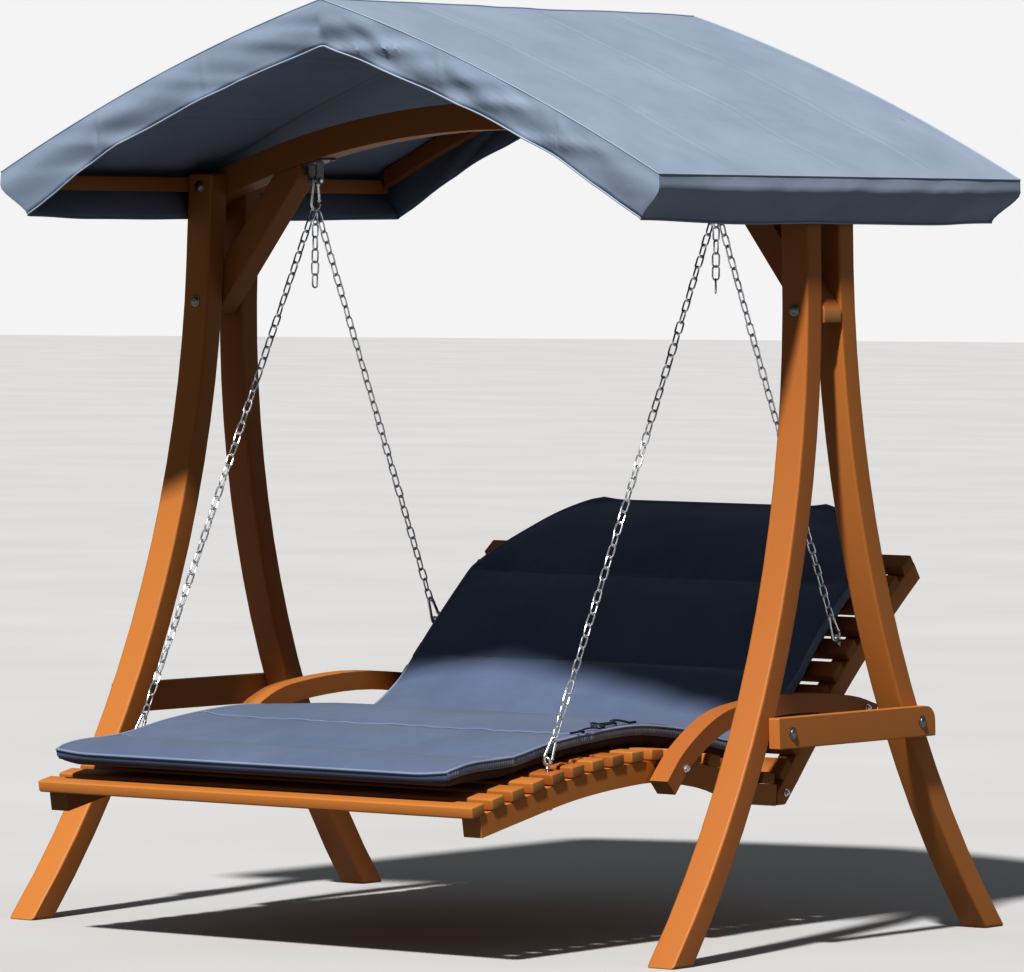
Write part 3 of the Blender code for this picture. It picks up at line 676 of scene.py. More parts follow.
NUT_PROFILE = [(0.0060, 0.0), (0.0068, 0.0006), (0.0068, 0.0052), (0.0060, 0.0058)]
WASHER_PROFILE = [(0.0088, 0.0), (0.0092, 0.0003), (0.0092, 0.0012), (0.0088, 0.0015)]
DOME_PROFILE = [(0.0100, 0.0), (0.0102, 0.0006), (0.0094, 0.0024), (0.0070, 0.0040), (0.0036, 0.0048)]
LARGE_WASHER = [(0.0135, 0.0), (0.0140, 0.0003), (0.0140, 0.0014), (0.0135, 0.0017)]
LARGE_NUT = [(0.0085, 0.0), (0.0098, 0.0008), (0.0098, 0.0070), (0.0085, 0.0078)]


def surface(node, start, direction):
    """(point, normal) where a ray first meets a CAD node."""
    shape = welded(node)
    tree = BVHTree.FromBMesh(shape)
    point, normal, _, _ = tree.ray_cast(Vector(start), Vector(direction))
    shape.free()
    if point is None:
        return Vector(start), -Vector(direction)
    return point, normal if normal.dot(Vector(direction)) < 0 else -normal


def make_eye_bolt(node):
    """An eye on a threaded shank with a collar."""
    low, high, up = rod_ends(node)
    eye = high - up * EYE_RADIUS
    place = facing(eye, up)
    flat = place.to_3x3().transposed() @ Vector((1, 0, 0))
    spin = atan2(flat.y, flat.x)
    place = place @ Matrix.Rotation(spin, 4, "Z")
    ring = arc((0, 0), EYE_RADIUS - EYE_WIRE, -pi / 2, 3 * pi / 2, 22)[:-1]
    stem = Vector((0, 0, -(EYE_RADIUS - EYE_WIRE)))
    shape = Shape().add(tube(ring, EYE_WIRE, 9, closed=True), place)
    length = (eye - low).length
    steps = int((length - SHANK_PLAIN) / THREAD_STEP)
    turns = [(0.0030 + 0.0003 * (i % 2), -length + i * THREAD_STEP) for i in range(steps)]
    shape.add(lathe([*turns, (0.0031, -SHANK_PLAIN), (0.0034, stem.z)], 10), place)
    collar = [(0.0050, 0.0), (0.0058, 0.0008), (0.0040, 0.0034)]
    shape.add(lathe(collar, 14), place @ Matrix.Translation((0, 0, stem.z - 0.0075)))
    mesh = shape.mesh("detail_" + node)
    piece("detail_" + node, mesh, (GALVANISED,), "lounger", [node])


def make_bolts(name, spots, material, body, parts):
    """The same set of turned parts on each (point, normal)."""
    shape = Shape()
    chance = dice(name)
    for point, normal in spots:
        height = 0.0002
        spin = chance.uniform(0, pi)
        for profile, sides in parts:
            shape.add(lathe(profile, sides), facing(Vector(point) + Vector(normal) * height, normal,
                spin))
            height += profile[-1][1]
    mesh = shape.mesh(name)
    piece(name, mesh, (material,), body, angle=radians(35))


FRAME_BOLT_Z = (1.454, 1.729)           # through the tops of the legs
RAIL_BOLT_Y = (-0.240, 0.300)           # through each side rail, from the beam
ARM_BOLTS = ((-0.235, 0.408), (0.520, 0.511))   # (Y from the beam, Z) on each armrest
HEEL_BOLT = (0.262, 0.322)              # the same at the heel of each back rail
FRAME_HALF, LEAN, LEG_WIDTH, LEG_TOP = 0.95, 0.0337, 0.072, 1.760
BEYOND = 2.0                            # a start well outside the object
SCREW_X, SCREW_Y = 0.018, 0.022         # bracket screws, from the bracket's middle


def make_fasteners():
    """Bolt heads, washers and nuts where boards are bolted together."""
    coach = [(LARGE_WASHER, 20), (DOME_PROFILE, 16)]
    nut = [(LARGE_WASHER, 20), (LARGE_NUT, 6), ([(0.0042, 0.0), (0.0040, 0.004)], 10)]
    spots, nuts = [], []
    for side_name, side in SIDES:
        for height in FRAME_BOLT_Z:
            leg_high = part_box(f"leg_front_{side_name}")[1]
            x = side * (FRAME_HALF - LEAN * height - LEG_WIDTH / 2)
            start = (x, MID_Y - BEYOND, height - (LEG_TOP - leg_high.z))
            spots.append(surface(f"leg_front_{side_name}", start, (0, 1, 0)))
            start = (x, MID_Y + BEYOND, height)
            nuts.append(surface(f"leg_rear_{side_name}", start, (0, -1, 0)))
        for y in RAIL_BOLT_Y:
            start = (side * BEYOND, MID_Y + y, middle_of(f"side_rail_{side_name}").z)
            spots.append(surface(f"side_rail_{side_name}", start, (-side, 0, 0)))
    make_bolts("frame_bolts", spots, DARK_ZINC, "root", coach)
    make_bolts("frame_nuts", nuts, DARK_ZINC, "root", nut)
    heads = []
    for side_name, side in SIDES:
        for y, z in ARM_BOLTS:
            start = (side * BEYOND, MID_Y + y, z)
            heads.append(surface(f"armrest_{side_name}", start, (-side, 0, 0)))
        start = (side * BEYOND, MID_Y + HEEL_BOLT[0], HEEL_BOLT[1])
        heads.append(surface(f"back_rail_{side_name}", start, (-side, 0, 0)))
    small = [(WASHER_PROFILE, 18), (NUT_PROFILE, 6), ([(0.0031, 0.0), (0.0029, 0.003)], 10)]
    make_bolts("lounger_bolts", heads, GALVANISED, "lounger", small)


def make_hanger(side_name):
    """The bracket under the beam with its screws, and the pin with its two heads."""
    node = f"hanger_bracket_{side_name}"
    mesh = cad_mesh(node, "detail_" + node)
    piece("detail_" + node, mesh, (DARK_ZINC,), "root", [node], angle=radians(20))
    low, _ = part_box(node)
    middle = middle_of(node)
    screws = []
    for dx in (-SCREW_X, SCREW_X):
        for dy in (-SCREW_Y, SCREW_Y):
            start = (middle.x + dx, middle.y + dy, low.z - 0.1)
            screws.append(surface(node, start, (0, 0, 1)))
    head = [([(0.0040, 0.0), (0.0046, 0.0005), (0.0036, 0.0018), (0.0016, 0.0024)], 12)]
    make_bolts(f"bracket_screws_{side_name}", screws, DARK_ZINC, "root", head)
    node = f"hanger_pin_{side_name}"
    low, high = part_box(node)
    centre = (low + high) / 2
    radius = (high.z - low.z) / 2
    length = high.x - low.x
    profile = [(radius * 0.9, 0.0), (radius, 0.0005), (radius, length - 0.0005), (radius * 0.9, length)]
    shape = Shape().add(lathe(profile, 18), facing((low.x, centre.y, centre.z), (1, 0, 0)))
    head = [(0.0056, 0.0), (0.0062, 0.0004), (0.0062, 0.0018), (0.0052, 0.0024)]
    shape.add(lathe(head, 18), facing((high.x - 0.0016, centre.y, centre.z), (1, 0, 0)))
    shape.add(lathe(head, 18), facing((low.x + 0.0016, centre.y, centre.z), (-1, 0, 0)))
    mesh = shape.mesh("detail_" + node)
    piece("detail_" + node, mesh, (GALVANISED,), "root", [node])


def make_metal():
    for side_name, _ in SIDES:
        make_hanger(side_name)
        make_hook(f"upper_hook_{side_name}", UPPER_HOOK_WIDTH)
        make_chain(f"chain_tail_{side_name}", *TAIL_REACH, turned=1)
        for end_name, _ in ENDS:
            tail = f"{end_name}_{side_name}"
            make_hook(f"lower_hook_{tail}", LOWER_HOOK_WIDTH)
            make_chain(f"chain_{tail}", *CHAIN_REACH)
            make_eye_bolt(f"eye_bolt_{tail}")
    make_fasteners()


# ------------------------------------------------------------------ canopy
ROOF_LOW, ROOF_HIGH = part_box("canopy_cover")
EAVE_X = ROOF_HIGH.x
RIDGE_Z = ROOF_HIGH.z
EAVE_Z = ROOF_LOW.z + SKIRT_DROP
HALF_Y = (ROOF_HIGH.y - ROOF_LOW.y) / 2
ROOF_STEPS = 130            # from the ridge to an eave
DEPTH_STEPS = 200           # from gable to gable
SKIRT_STEPS = 10
ARCH_Y = 0.70               # the gable arches, from the middle of the roof
ROOF_SAG = 0.011            # between the arches
CREASE_WIDTH = 0.0055
CORNER_REACH = 0.34         # how far a corner of the cover pulls on its skirt
EAVE_UNDERCUT = 0.024       # the eave skirts lean in by this much at the hem
SEAM_LIFT = Vector((0, 0, 0.0004))


def wrinkle(x, y, z, size):
    """Smooth noise between -1 and 1 with bumps of about the given size."""
    return noise.noise(Vector((x / size, y / size, z / size)))


def fold_line(distance, width, height):
    """A pressed fold: a thin ridge in a shallow dip."""
    d = abs(distance)
    return height * (exp(-d / width) - 0.45 * exp(-(d / (5 * width)) ** 2))


def roof_point(u, y):
    """A point of the roof. u runs from -1 at the left eave to 1 at the right one."""
    side, share = (1 if u >= 0 else -1), abs(u)
    z = RIDGE_Z - (RIDGE_Z - EAVE_Z) * share + 4 * ROOF_BULGE * share * (1 - share)
    inside = smooth(1 - share, 0.0, 0.10) * smooth(HALF_Y - abs(y), 0.0, 0.09)
    between = max(0.0, cos(pi * y / (2 * ARCH_Y)))
    z -= ROOF_SAG * sin(pi * share) ** 1.3 * between
    wander = 0.012 * wrinkle(u * 3 + side, y * 2, 0.3, 1.0)
    lines = 0.0
    for number, line in enumerate(ROOF_CREASES):
        lines += fold_line((share - line + wander) * 1.02, CREASE_WIDTH, 0.0044 if number else -0.0040)
    for number, line in enumerate(CROSS_CREASES):
        sign = -1 if number == 1 else 1
        lines += fold_line(y - line + wander, CREASE_WIDTH, sign * 0.0038)
    loose = 0.0055 * wrinkle(u * 2.2, y, side, 0.42) + 0.0018 * wrinkle(u, y, side + 4, 0.12)
    pull = (0.0040 * sin(34 * share + 9 * y + 3 * wrinkle(u, y, 7, 0.5)) * smooth(abs(y), 0.45, 0.66)
        * smooth(share, 0.05, 0.3) * smooth(HALF_Y - abs(y), 0.01, 0.07))
    lines *= smooth(share, 0.0, 0.04)
    z += inside * (lines + loose) + pull * smooth(1 - share, 0.0, 0.08) * 0.6
    return Vector((u * EAVE_X, MID_Y + y, z))


def corner_pull(distance):
    """1 at a corner of the cover and 0 well away from it."""
    return 1 - smooth(distance, 0.0, CORNER_REACH)


def skirt_point(top, w, outward, travel):
    """A point of the skirt under a point of the roof's edge; w is 0 at the edge, 1 at the hem."""
    x, y = top.x, top.y - MID_Y
    to_corner = EAVE_X - abs(x) if outward.y else HALF_Y - abs(y)
    corner = corner_pull(to_corner)
    side_x, side_y = (1 if x >= 0 else -1), (1 if y >= 0 else -1)
    at_gable = abs(outward.y)
    inset_x = (0.010 + 0.050 * corner) if not at_gable else 0.060 * corner
    inset_y = (0.014 + 0.010 * corner) if at_gable else 0.024 * corner
    point = top.copy()
    point.z -= SKIRT_DROP * (1 - 0.05 * corner) * w
    tuck = smooth(w, 0.30, 1.05)
    point.x -= side_x * inset_x * tuck
    point.y -= side_y * inset_y * tuck
    seed = 3.1 * side_x + 7.7 * side_y
    if at_gable:
        along = travel + 0.30 * w * side_x
        sharp = 0.5 - abs(wrinkle(along, w * 0.05, seed, 0.13))
        folds = 0.015 * sharp + 0.008 * wrinkle(travel * 0.7 - w * 0.12, w * 0.1, seed + 5, 0.08)
        folds += fold_line(abs(x) - EAVE_X * ROOF_CREASES[0], 0.006, 0.008) * sin(pi * w)
        folds += fold_line(abs(x) - EAVE_X * ROOF_CREASES[1], 0.006, -0.008) * sin(pi * w)
    else:
        folds = 0.007 * sin(pi * min(w * 2.0, 1.0)) - EAVE_UNDERCUT * smooth(w, 0.30, 1.0)
        folds += 0.006 * wrinkle(travel, w * 0.12, seed, 0.22)
        folds += 0.004 * (0.5 - abs(wrinkle(travel + w * 0.3, w * 0.1, seed + 2, 0.12)))
    folds *= sin(pi * min(w, 0.5)) * (0.35 + 0.65 * (1 - corner))
    point += outward * folds
    point.z += 0.0022 * wrinkle(travel, 0, seed + 9, 0.25) * w
    return point


def slope_length():
    """The length of one slope of the roof along its curve, without its folds."""
    steps = 40
    shares = [i / steps for i in range(steps + 1)]
    line = [Vector((EAVE_X * t, 0, -(RIDGE_Z - EAVE_Z) * t + 4 * ROOF_BULGE * t * (1 - t)))
        for t in shares]
    return sum((after - before).length for before, after in zip(line, line[1:]))


SLOPE_LENGTH = slope_length()


def canopy_grid():
    """Corners and faces of the whole sheet, its flat coordinates, and its edge lines."""
    columns, rows = 2 * ROOF_STEPS, DEPTH_STEPS
    verts, flat, faces = [], [], []
    index = {}
    for i in range(columns + 1):
        u = i / ROOF_STEPS - 1
        for j in range(rows + 1):
            y = HALF_Y * (2 * j / rows - 1)
            index[i, j] = len(verts)
            verts.append(roof_point(u, y))
            flat.append((u * SLOPE_LENGTH, y, 0.0))
    for i in range(columns):
        for j in range(rows):
            faces.append([index[i, j], index[i + 1, j], index[i + 1, j + 1], index[i, j + 1]])
    border = [(i, 0, Vector((0, -1, 0))) for i in range(columns)]
    border += [(columns, j, Vector((1, 0, 0))) for j in range(rows)]
    border += [(i, rows, Vector((0, 1, 0))) for i in range(columns, 0, -1)]
    border += [(0, j, Vector((-1, 0, 0))) for j in range(rows, 0, -1)]
    corners = {(0, 0), (columns, 0), (columns, rows), (0, rows)}
    last = [index[i, j] for i, j, _ in border]
    edge_line = [verts[k] for k in last]
    travel = 0.0
    travels = []
    for a, b in zip(edge_line, edge_line[1:] + edge_line[:1]):
        travels.append(travel)
        travel += (b - a).length
    for step in range(1, SKIRT_STEPS + 1):
        row = []
        for (i, j, outward), top, distance in zip(border, edge_line, travels):
            row.append(len(verts))
            w = step / SKIRT_STEPS
            if (i, j) in corners:
                side = skirt_point(top, w, Vector((1 if i else -1, 0, 0)), distance)
                gable = skirt_point(top, w, Vector((0, 1 if j else -1, 0)), distance)
                verts.append((side + gable) / 2)
            else:
                verts.append(skirt_point(top, w, outward, distance))
            flat.append((distance, 3.0 + w * SKIRT_DROP, 0.0))
        for k in range(len(border)):
            m = (k + 1) % len(border)
            faces.append([last[k], row[k], row[m], last[m]])
        last = row
    hem = [verts[k] for k in last]
    ridge = [verts[index[ROOF_STEPS, j]] for j in range(rows + 1)]
    return verts, faces, flat, edge_line, hem, ridge


def store_flat(mesh, flat):
    cloth = mesh.attributes.new("cloth", "FLOAT_VECTOR", "POINT")
    cloth.data.foreach_set("vector", np.array(flat, np.float32).ravel())


def trim(name, path, radius, material, body, slot, closed=False, flat=1.0, sides=6):
    """A piping, tape or seam along a path, with its own cloth coordinates."""
    form = tube(path, radius, sides, closed, flat)
    mesh = Shape().add(form).mesh(name)
    coordinates, travel = [], 0.0
    for i, point in enumerate(path):
        if i:
            travel += (Vector(point) - Vector(path[i - 1])).length
        coordinates += [(travel, 2 * pi * radius * k / sides, 0.0) for k in range(sides)]
    store_flat(mesh, coordinates)
    return piece(name, mesh, (material,), body, angle=pi)


def make_canopy():
    verts, faces, flat, edge_line, hem, ridge = canopy_grid()
    mesh = bpy.data.meshes.new("canopy_sheet")
    mesh.from_pydata(verts, [], faces)
    shape = bmesh.new()
    shape.from_mesh(mesh)
    bmesh.ops.recalc_face_normals(shape, faces=shape.faces)
    shape.faces.ensure_lookup_table()
    if shape.faces[len(shape.faces) // 3].normal.z < 0:
        bmesh.ops.reverse_faces(shape, faces=shape.faces)
    shape.to_mesh(mesh)
    shape.free()
    store_flat(mesh, flat)
    sheet = piece("canopy_sheet", mesh, (CANOPY,), "root", ["canopy_cover"],
        angle=radians(40))
    thick = sheet.modifiers.new("thickness", "SOLIDIFY")
    thick.thickness = SHEET_THICK
    thick.offset = -1.0
    seam = trim("canopy_edge_seam", [p + SEAM_LIFT for p in edge_line], 0.0016, CANOPY_TAPE, "root",
        "canopy_cloth", closed=True)
    binding = trim("canopy_hem", hem, 0.0022, CANOPY_TAPE, "root", "canopy_cloth", closed=True, sides=8)
    top = trim("canopy_ridge_seam", [p + SEAM_LIFT for p in ridge], 0.0020, CANOPY, "root", "canopy_cloth")


# ------------------------------------------------------------------ cushion
MAT_COLUMNS, MAT_ROWS, MAT_LAYERS = 104, 196, 6
BOXING = 0.56               # share of the thickness where the side band ends
MAT_START = 0.86            # share of its full thickness before it is filled
FOLD_RADIUS, SEAM_RADIUS = 0.0062, 0.0015   # of the seams on the seat and on the back
SEAM_FLAT = 0.45            # height of a seat seam as a share of its width
PANEL_CAP = 0.012           # the most that filling may move a point
COLUMN_CLOTH = 0.0108       # cloth between two columns
LAST_FRAME = 20             # of the filling
RIB_ROWS = 1100             # along each gathered side band
EDGE_TUCK = 0.030           # the underside draws in by this much all round
HEAD_ROUND = 0.050          # at the two corners of the head
FRONT_LIFT, LIFT_REACH = 0.030, 0.30    # the front edge stands up off the slats
TOP_PIPING, LOW_PIPING, TAPE = 0.0034, 0.0022, 0.0028   # radii


def mat_lines():
    """The CAD mat's underside line, its half-width along that line, and its thickness."""
    shape = welded("cushion")
    halves, beside = {}, {}
    for vertex in shape.verts:
        key = (round(vertex.co.y, 3), round(vertex.co.z, 3))
        halves[key] = max(halves.get(key, 0.0), abs(vertex.co.x))
    for edge in shape.edges:
        a, b = (v.co for v in edge.verts)
        if abs(a.x - b.x) > 0.3:
            ends = [(round(p.y, 3), round(p.z, 3)) for p in (a, b)]
            if ends[0] != ends[1]:
                beside.setdefault(ends[0], set()).add(ends[1])
                beside.setdefault(ends[1], set()).add(ends[0])
    shape.free()
    upper_front = min(beside)
    line = [min(beside[upper_front], key=lambda key: key[1])]
    thickness = (Vector(upper_front) - Vector(line[0])).length
    while True:
        onward = sorted(key for key in beside[line[-1]] if key[0] > line[-1][0])
        if not onward:
            break
        line += onward
    return np.array(line), np.array([halves[key] for key in line]), thickness


def finer(values, steps, places):
    """Values at evenly spaced places between the first place and the last."""
    new = np.linspace(places[0], places[-1], steps)
    if values.ndim == 1:
        return np.interp(new, places, values)
    return np.stack([np.interp(new, places, column) for column in values.T], 1)


def relaxed(values, rounds):
    """The same line with its corners eased."""
    values = values.copy()
    for _ in range(rounds):
        values[1:-1] = (values[:-2] + 2 * values[1:-1] + values[2:]) / 4
    return values


class Mat:
    """The mat's own shape: a place for each (across, along, height)."""

    def __init__(self):
        bottom, halves, thickness = mat_lines()
        spans = np.linalg.norm(np.diff(bottom, axis=0), axis=1)
        places = np.concatenate([[0], np.cumsum(spans)])
        self.bottom = relaxed(finer(bottom, MAT_ROWS + 1, places), 12)
        run = np.gradient(self.bottom, axis=0)
        run /= np.linalg.norm(run, axis=1)[:, None]
        self.top = self.bottom + thickness * np.stack([-run[:, 1], run[:, 0]], 1)
        self.half = relaxed(finer(halves, MAT_ROWS + 1, places), 3)
        steps = np.linalg.norm(np.diff((self.bottom + self.top) / 2, axis=0), axis=1)
        self.length = np.concatenate([[0], np.cumsum(steps)])
        self.total = self.length[-1]
        self.seams = []
        for line in SEAMS:
            self.seams.append(int(np.argmin(np.abs(self.top[:, 0] - MID_Y - line))))
        marks = [0, *self.seams, MAT_ROWS]
        self.panel = np.zeros(MAT_ROWS + 1)
        for a, b in zip(marks, marks[1:]):
            self.panel[a:b + 1] = np.sin(pi * np.linspace(0, 1, b - a + 1)) ** 0.5

    def upward(self, j):
        """The direction through the mat at a row, in the YZ plane."""
        rise = self.top[j] - self.bottom[j]
        return rise / np.linalg.norm(rise)

    def height_share(self, i, j):
        """How thick the mat is at a place, before filling, as a share of the CAD's."""
        inner = sin(pi / 2 * min(min(i, MAT_COLUMNS - i) / 9, 1.0))
        across = 0.93 + 0.07 * inner
        along = 0.93 + 0.07 * sin(pi / 2 * min(min(j, MAT_ROWS - j) / 9, 1.0))
        seam = 1.0 - (0.04 + 0.22 * inner) * (1 - self.panel[j])
        return MAT_START * across * along * seam

    def place(self, i, j, h):
        """The point at column i, row j and height share h."""
        u = 2 * i / MAT_COLUMNS - 1
        half = self.half[j] - 0.005 * self.panel[j]
        corner = max(0.0, 1 - (MAT_ROWS - j) / 10)
        half -= HEAD_ROUND * (1 - sqrt(max(0.0, 1 - corner ** 2)))
        front = max(0.0, 1 - j / 3)
        half -= 0.008 * front
        low, high = self.bottom[j], self.top[j]
        rise = high - low
        thick = self.height_share(i, j)
        tuck = EDGE_TUCK * (1 - h / BOXING) ** 1.4 if h < BOXING else -0.0015
        edge_tuck = tuck if i in (0, MAT_COLUMNS) else tuck * max(0.0, 1 - min(i, MAT_COLUMNS - i) / 5)
        x = u * half - (1 if u > 0 else -1) * edge_tuck * (abs(u) > 0.5)
        run = self.bottom[min(j + 1, MAT_ROWS)] - self.bottom[max(j - 1, 0)]
        run = run / np.linalg.norm(run)
        shift = 0.0
        if j < 5:
            shift = tuck * (1 - j / 5)
        elif j > MAT_ROWS - 5:
            shift = -tuck * (1 - (MAT_ROWS - j) / 5)
        floor_gap = 0.0012      # a share of the thickness, so that the underside sits clear
        yz = low + rise * (floor_gap + h * thick) + run * shift
        lift = FRONT_LIFT * (1 - smooth(self.length[j], 0.0, LIFT_REACH))
        return Vector((x, yz[0], yz[1] + lift))


def mat_lattice(mat):
    """A closed grid of corners over all six sides of the mat."""
    index, verts, faces, slots, flat, keys = {}, [], [], [], [], []

    def corner(i, j, k):
        if (i, j, k) not in index:
            index[i, j, k] = len(verts)
            verts.append(mat.place(i, j, k / MAT_LAYERS))
            flat.append((i * COLUMN_CLOTH, mat.length[j] + (5.0 if k == 0 else 0.0), k * 0.009
                if 0 < k < MAT_LAYERS else 0.0))
            keys.append((i, j, k))
        return index[i, j, k]

    def quad(points, slot):
        faces.append([corner(*p) for p in points])
        slots.append(slot)

    n, m, top = MAT_COLUMNS, MAT_ROWS, MAT_LAYERS
    for i in range(n):
        for j in range(m):
            quad([(i, j, top), (i + 1, j, top), (i + 1, j + 1, top), (i, j + 1, top)], 0)
            quad([(i, j, 0), (i, j + 1, 0), (i + 1, j + 1, 0), (i + 1, j, 0)], 1)
    for k in range(top):
        slot = 0 if (k + 0.5) / top > BOXING else 1
        for j in range(m):
            quad([(0, j, k), (0, j, k + 1), (0, j + 1, k + 1), (0, j + 1, k)], slot)
            quad([(n, j, k), (n, j + 1, k), (n, j + 1, k + 1), (n, j, k + 1)], slot)
        for i in range(n):
            quad([(i, 0, k), (i + 1, 0, k), (i + 1, 0, k + 1), (i, 0, k + 1)], slot)
            quad([(i, m, k), (i, m, k + 1), (i + 1, m, k + 1), (i + 1, m, k)], slot)
    return verts, faces, slots, flat, keys


def fill_mat(obj, keys, mat):
    """Blow the mat up with cloth under pressure, with its seams and underside held."""
    held = obj.vertex_groups.new(name="held")
    seams = set(mat.seams)
    for number, (i, j, k) in enumerate(keys):
        rim = k == MAT_LAYERS and (i in (0, MAT_COLUMNS) or j in (0, MAT_ROWS))
        weight = 1.0 if k == 0 or rim or (k == MAT_LAYERS and j in seams) else 0.0
        if weight:
            held.add([number], weight, "REPLACE")
    cloth = obj.modifiers.new("filling", "CLOTH")
    settings = cloth.settings
    settings.quality = 5
    settings.mass = 0.3
    settings.tension_stiffness = settings.compression_stiffness = 15.0
    settings.shear_stiffness = 5.0
    settings.bending_stiffness = 0.5
    settings.use_pressure = True
    settings.uniform_pressure_force = 4.0
    settings.vertex_group_mass = "held"
    settings.effector_weights.gravity = 0.0
    cloth.collision_settings.use_collision = False
    cloth.point_cache.frame_start, cloth.point_cache.frame_end = 1, LAST_FRAME
    scene = bpy.context.scene
    for number in range(1, LAST_FRAME + 1):
        scene.frame_set(number)
    graph = bpy.context.evaluated_depsgraph_get()
    filled = obj.evaluated_get(graph).to_mesh()
    after = np.zeros(len(obj.data.vertices) * 3, np.float32)
    filled.vertices.foreach_get("co", after)
    obj.evaluated_get(graph).to_mesh_clear()
    obj.modifiers.remove(cloth)
    scene.frame_set(1)
    return after.reshape(-1, 3).astype(float)


def mat_shape():
    """The filled mat as a mesh: every panel crowned, puckered beside its seams."""
    mat = Mat()
    verts, faces, slots, flat, keys = mat_lattice(mat)
    mesh = bpy.data.meshes.new("cushion_mat")
    mesh.from_pydata(verts, [], faces)
    mesh.polygons.foreach_set("material_index", slots)
    obj = added("cushion_mat", mesh)
    before = np.array([v[:] for v in verts])
    after = before.copy()
    after = fill_mat(obj, keys, mat)
    move = after - before
    far = np.linalg.norm(move, axis=1)
    move *= (np.minimum(far, PANEL_CAP) / np.maximum(far, 1e-9))[:, None]
    after = before + move
    for number, (i, j, k) in enumerate(keys):
        if k != MAT_LAYERS:
            continue
        rise = mat.upward(j)
        beside = min(abs(j - seam) for seam in mat.seams)
        x = i * COLUMN_CLOTH
        pucker = 0.0030 * wrinkle(x * 3.2, j * 0.003, 0, 0.11) * exp(-beside / 4)
        loose = 0.0035 * wrinkle(x, mat.length[j] * 1.4, 3, 0.28)
        loose += 0.0016 * wrinkle(x * 0.6, mat.length[j] * 2.0, 8, 0.10)
        rim = min(i, MAT_COLUMNS - i, j, MAT_ROWS - j)
        after[number][1:] += rise * (pucker + loose * min(1.0, beside / 6)) * min(1.0, rim / 4)
    mesh.vertices.foreach_set("co", after.astype(np.float32).ravel())
    store_flat(mesh, flat)
    mesh.update()
    bpy.data.objects.remove(obj)
    index = {key: Vector(after[number]) for number, key in enumerate(keys)}
    return mat, mesh, index


def rim_path(index, k):
    """The line round the mat at one layer, as a closed loop."""
    n, m = MAT_COLUMNS, MAT_ROWS
    path = [index[i, 0, k] for i in range(n)] + [index[n, j, k] for j in range(m)]
    return path + [index[i, m, k] for i in range(n, 0, -1)] + [index[0, j, k] for j in range(m, 0, -1)]


def make_gathers(index, side_name, column, outward):
    """The elastic side band, drawn up in fine upright ribs."""
    layers = [k for k in range(MAT_LAYERS + 1) if k / MAT_LAYERS >= BOXING - 0.1]
    verts, faces, flat = [], [], []
    chance = dice("gathers " + side_name)
    phase = 0.0
    for r in range(RIB_ROWS + 1):
        t = r / RIB_ROWS * MAT_ROWS
        j, part = min(int(t), MAT_ROWS - 1), t - min(int(t), MAT_ROWS - 1)
        phase += 1.45 + chance.uniform(-0.5, 0.5)
        rib = 0.0016 * (0.5 + 0.5 * sin(phase))
        for number, k in enumerate(layers):
            point = index[column, j, k].lerp(index[column, j + 1, k], part)
            swell = 0.0006 + rib * (0.35 + 0.65 * sin(pi * number / (len(layers) - 1)))
            verts.append(point + Vector((outward * swell, 0, 0)))
            flat.append((r * 0.002, number * 0.008, 0.0))
    width = len(layers)
    for r in range(RIB_ROWS):
        for c in range(width - 1):
            a = r * width + c
            faces.append([a, a + 1, a + width + 1, a + width])
    mesh = bpy.data.meshes.new("gathers_" + side_name)
    mesh.from_pydata(verts, [], faces)
    store_flat(mesh, flat)
    band = piece("cushion_gathers_" + side_name, mesh, (PIPING,), "lounger", angle=pi)
    thick = band.modifiers.new("thickness", "SOLIDIFY")
    thick.thickness, thick.offset = 0.0010, 0.0


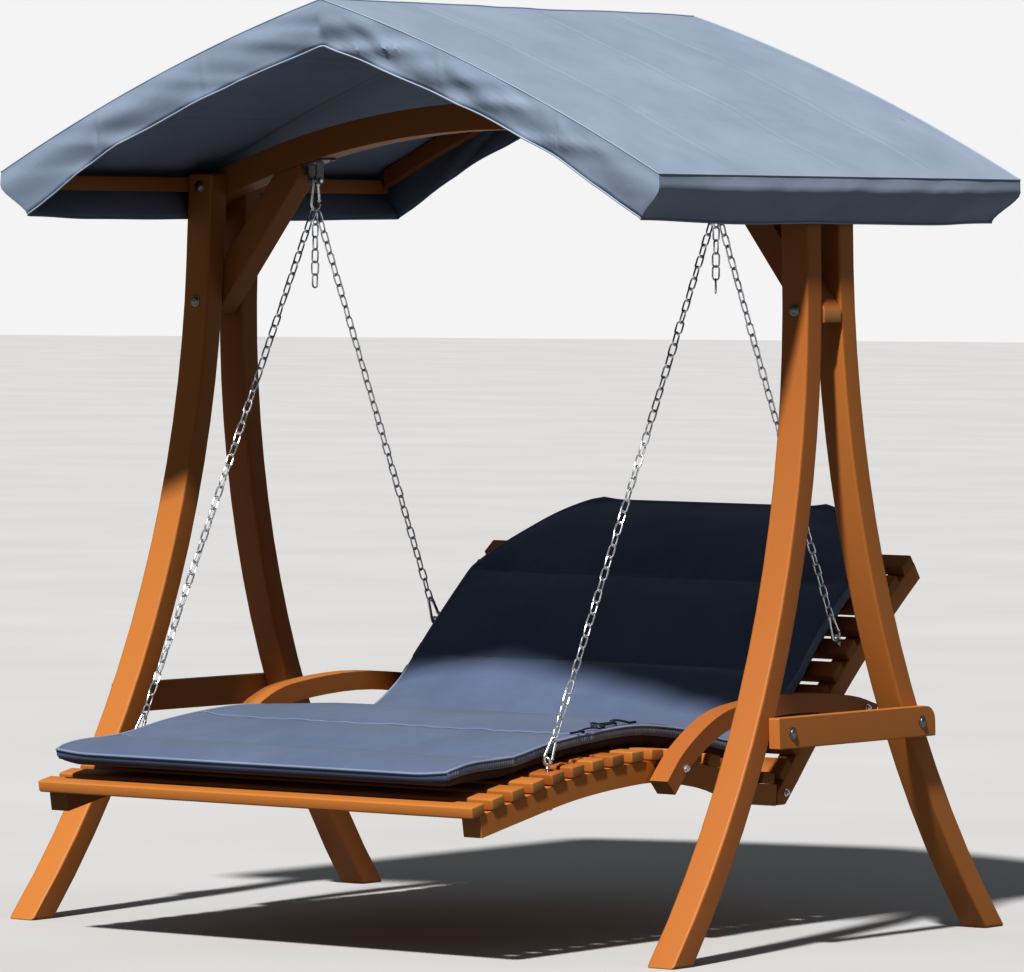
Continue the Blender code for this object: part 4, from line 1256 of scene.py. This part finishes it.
def make_ties(index):
    """Two narrow tape ties that lie loose along the right-hand edge, near the crest."""
    chance = dice("ties")
    for number, (start, end) in enumerate(((0.245, 0.330), (0.300, 0.375))):
        path = []
        first, last = int(start * MAT_ROWS), int(end * MAT_ROWS)
        steps = 60
        for s in range(steps + 1):
            t = s / steps
            j = first + (last - first) * t
            i = MAT_COLUMNS - 2.5 - 2.0 * number + 1.8 * sin(t * 13 + number * 2)
            i += chance.uniform(-0.12, 0.12)
            a, b = int(i), int(j)
            low = index[a, b, MAT_LAYERS].lerp(index[a + 1, b, MAT_LAYERS], i - a)
            high = index[a, b + 1, MAT_LAYERS].lerp(index[a + 1, b + 1, MAT_LAYERS], i - a)
            spot = low.lerp(high, j - b)
            path.append(spot + Vector((0, 0, 0.0030 + 0.0035 * abs(sin(t * 17 + number)))))
        mat_trim(f"tie_{number + 1}", path, TAPE, TIE_TAPE, flat=0.6, sides=8)


def mat_trim(name, path, radius, material, **settings):
    trim("cushion_" + name, path, radius, material, "lounger", "cushion_cloth", **settings)


def make_cushion():
    mat, mesh, index = mat_shape()
    body = piece("cushion_mat", mesh, (CUSHION, UNDERSIDE), "lounger", ["cushion"],
        angle=radians(70))
    mat_trim("piping_top", rim_path(index, MAT_LAYERS), TOP_PIPING, PIPING, closed=True, sides=8)
    seam_layer = next(k for k in range(MAT_LAYERS + 1) if k / MAT_LAYERS >= BOXING - 0.1)
    mat_trim("piping_low", rim_path(index, seam_layer), LOW_PIPING, TIE_TAPE, closed=True)
    for number, row in enumerate(mat.seams):
        path = [index[i, row, MAT_LAYERS] + Vector((0, 0, -0.0004)) for i in range(1, MAT_COLUMNS)]
        on_seat = number < 2
        # The seat seams get the lighter cloth as a painted highlight where the key light catches them. The back
        # seams keep the plain cushion cloth.
        if on_seat:
            mat_trim(f"seam_{number + 1}", path, FOLD_RADIUS, SEAT_SEAM_HIGHLIGHT, flat=SEAM_FLAT, sides=10)
        else:
            mat_trim(f"seam_{number + 1}", path, SEAM_RADIUS, CUSHION, sides=10)
    for side_name, side in SIDES:
        make_gathers(index, side_name, MAT_COLUMNS if side > 0 else 0, side)
    make_ties(index)


make_camera()
make_stage()
make_timber()
make_metal()
make_canopy()
make_cushion()
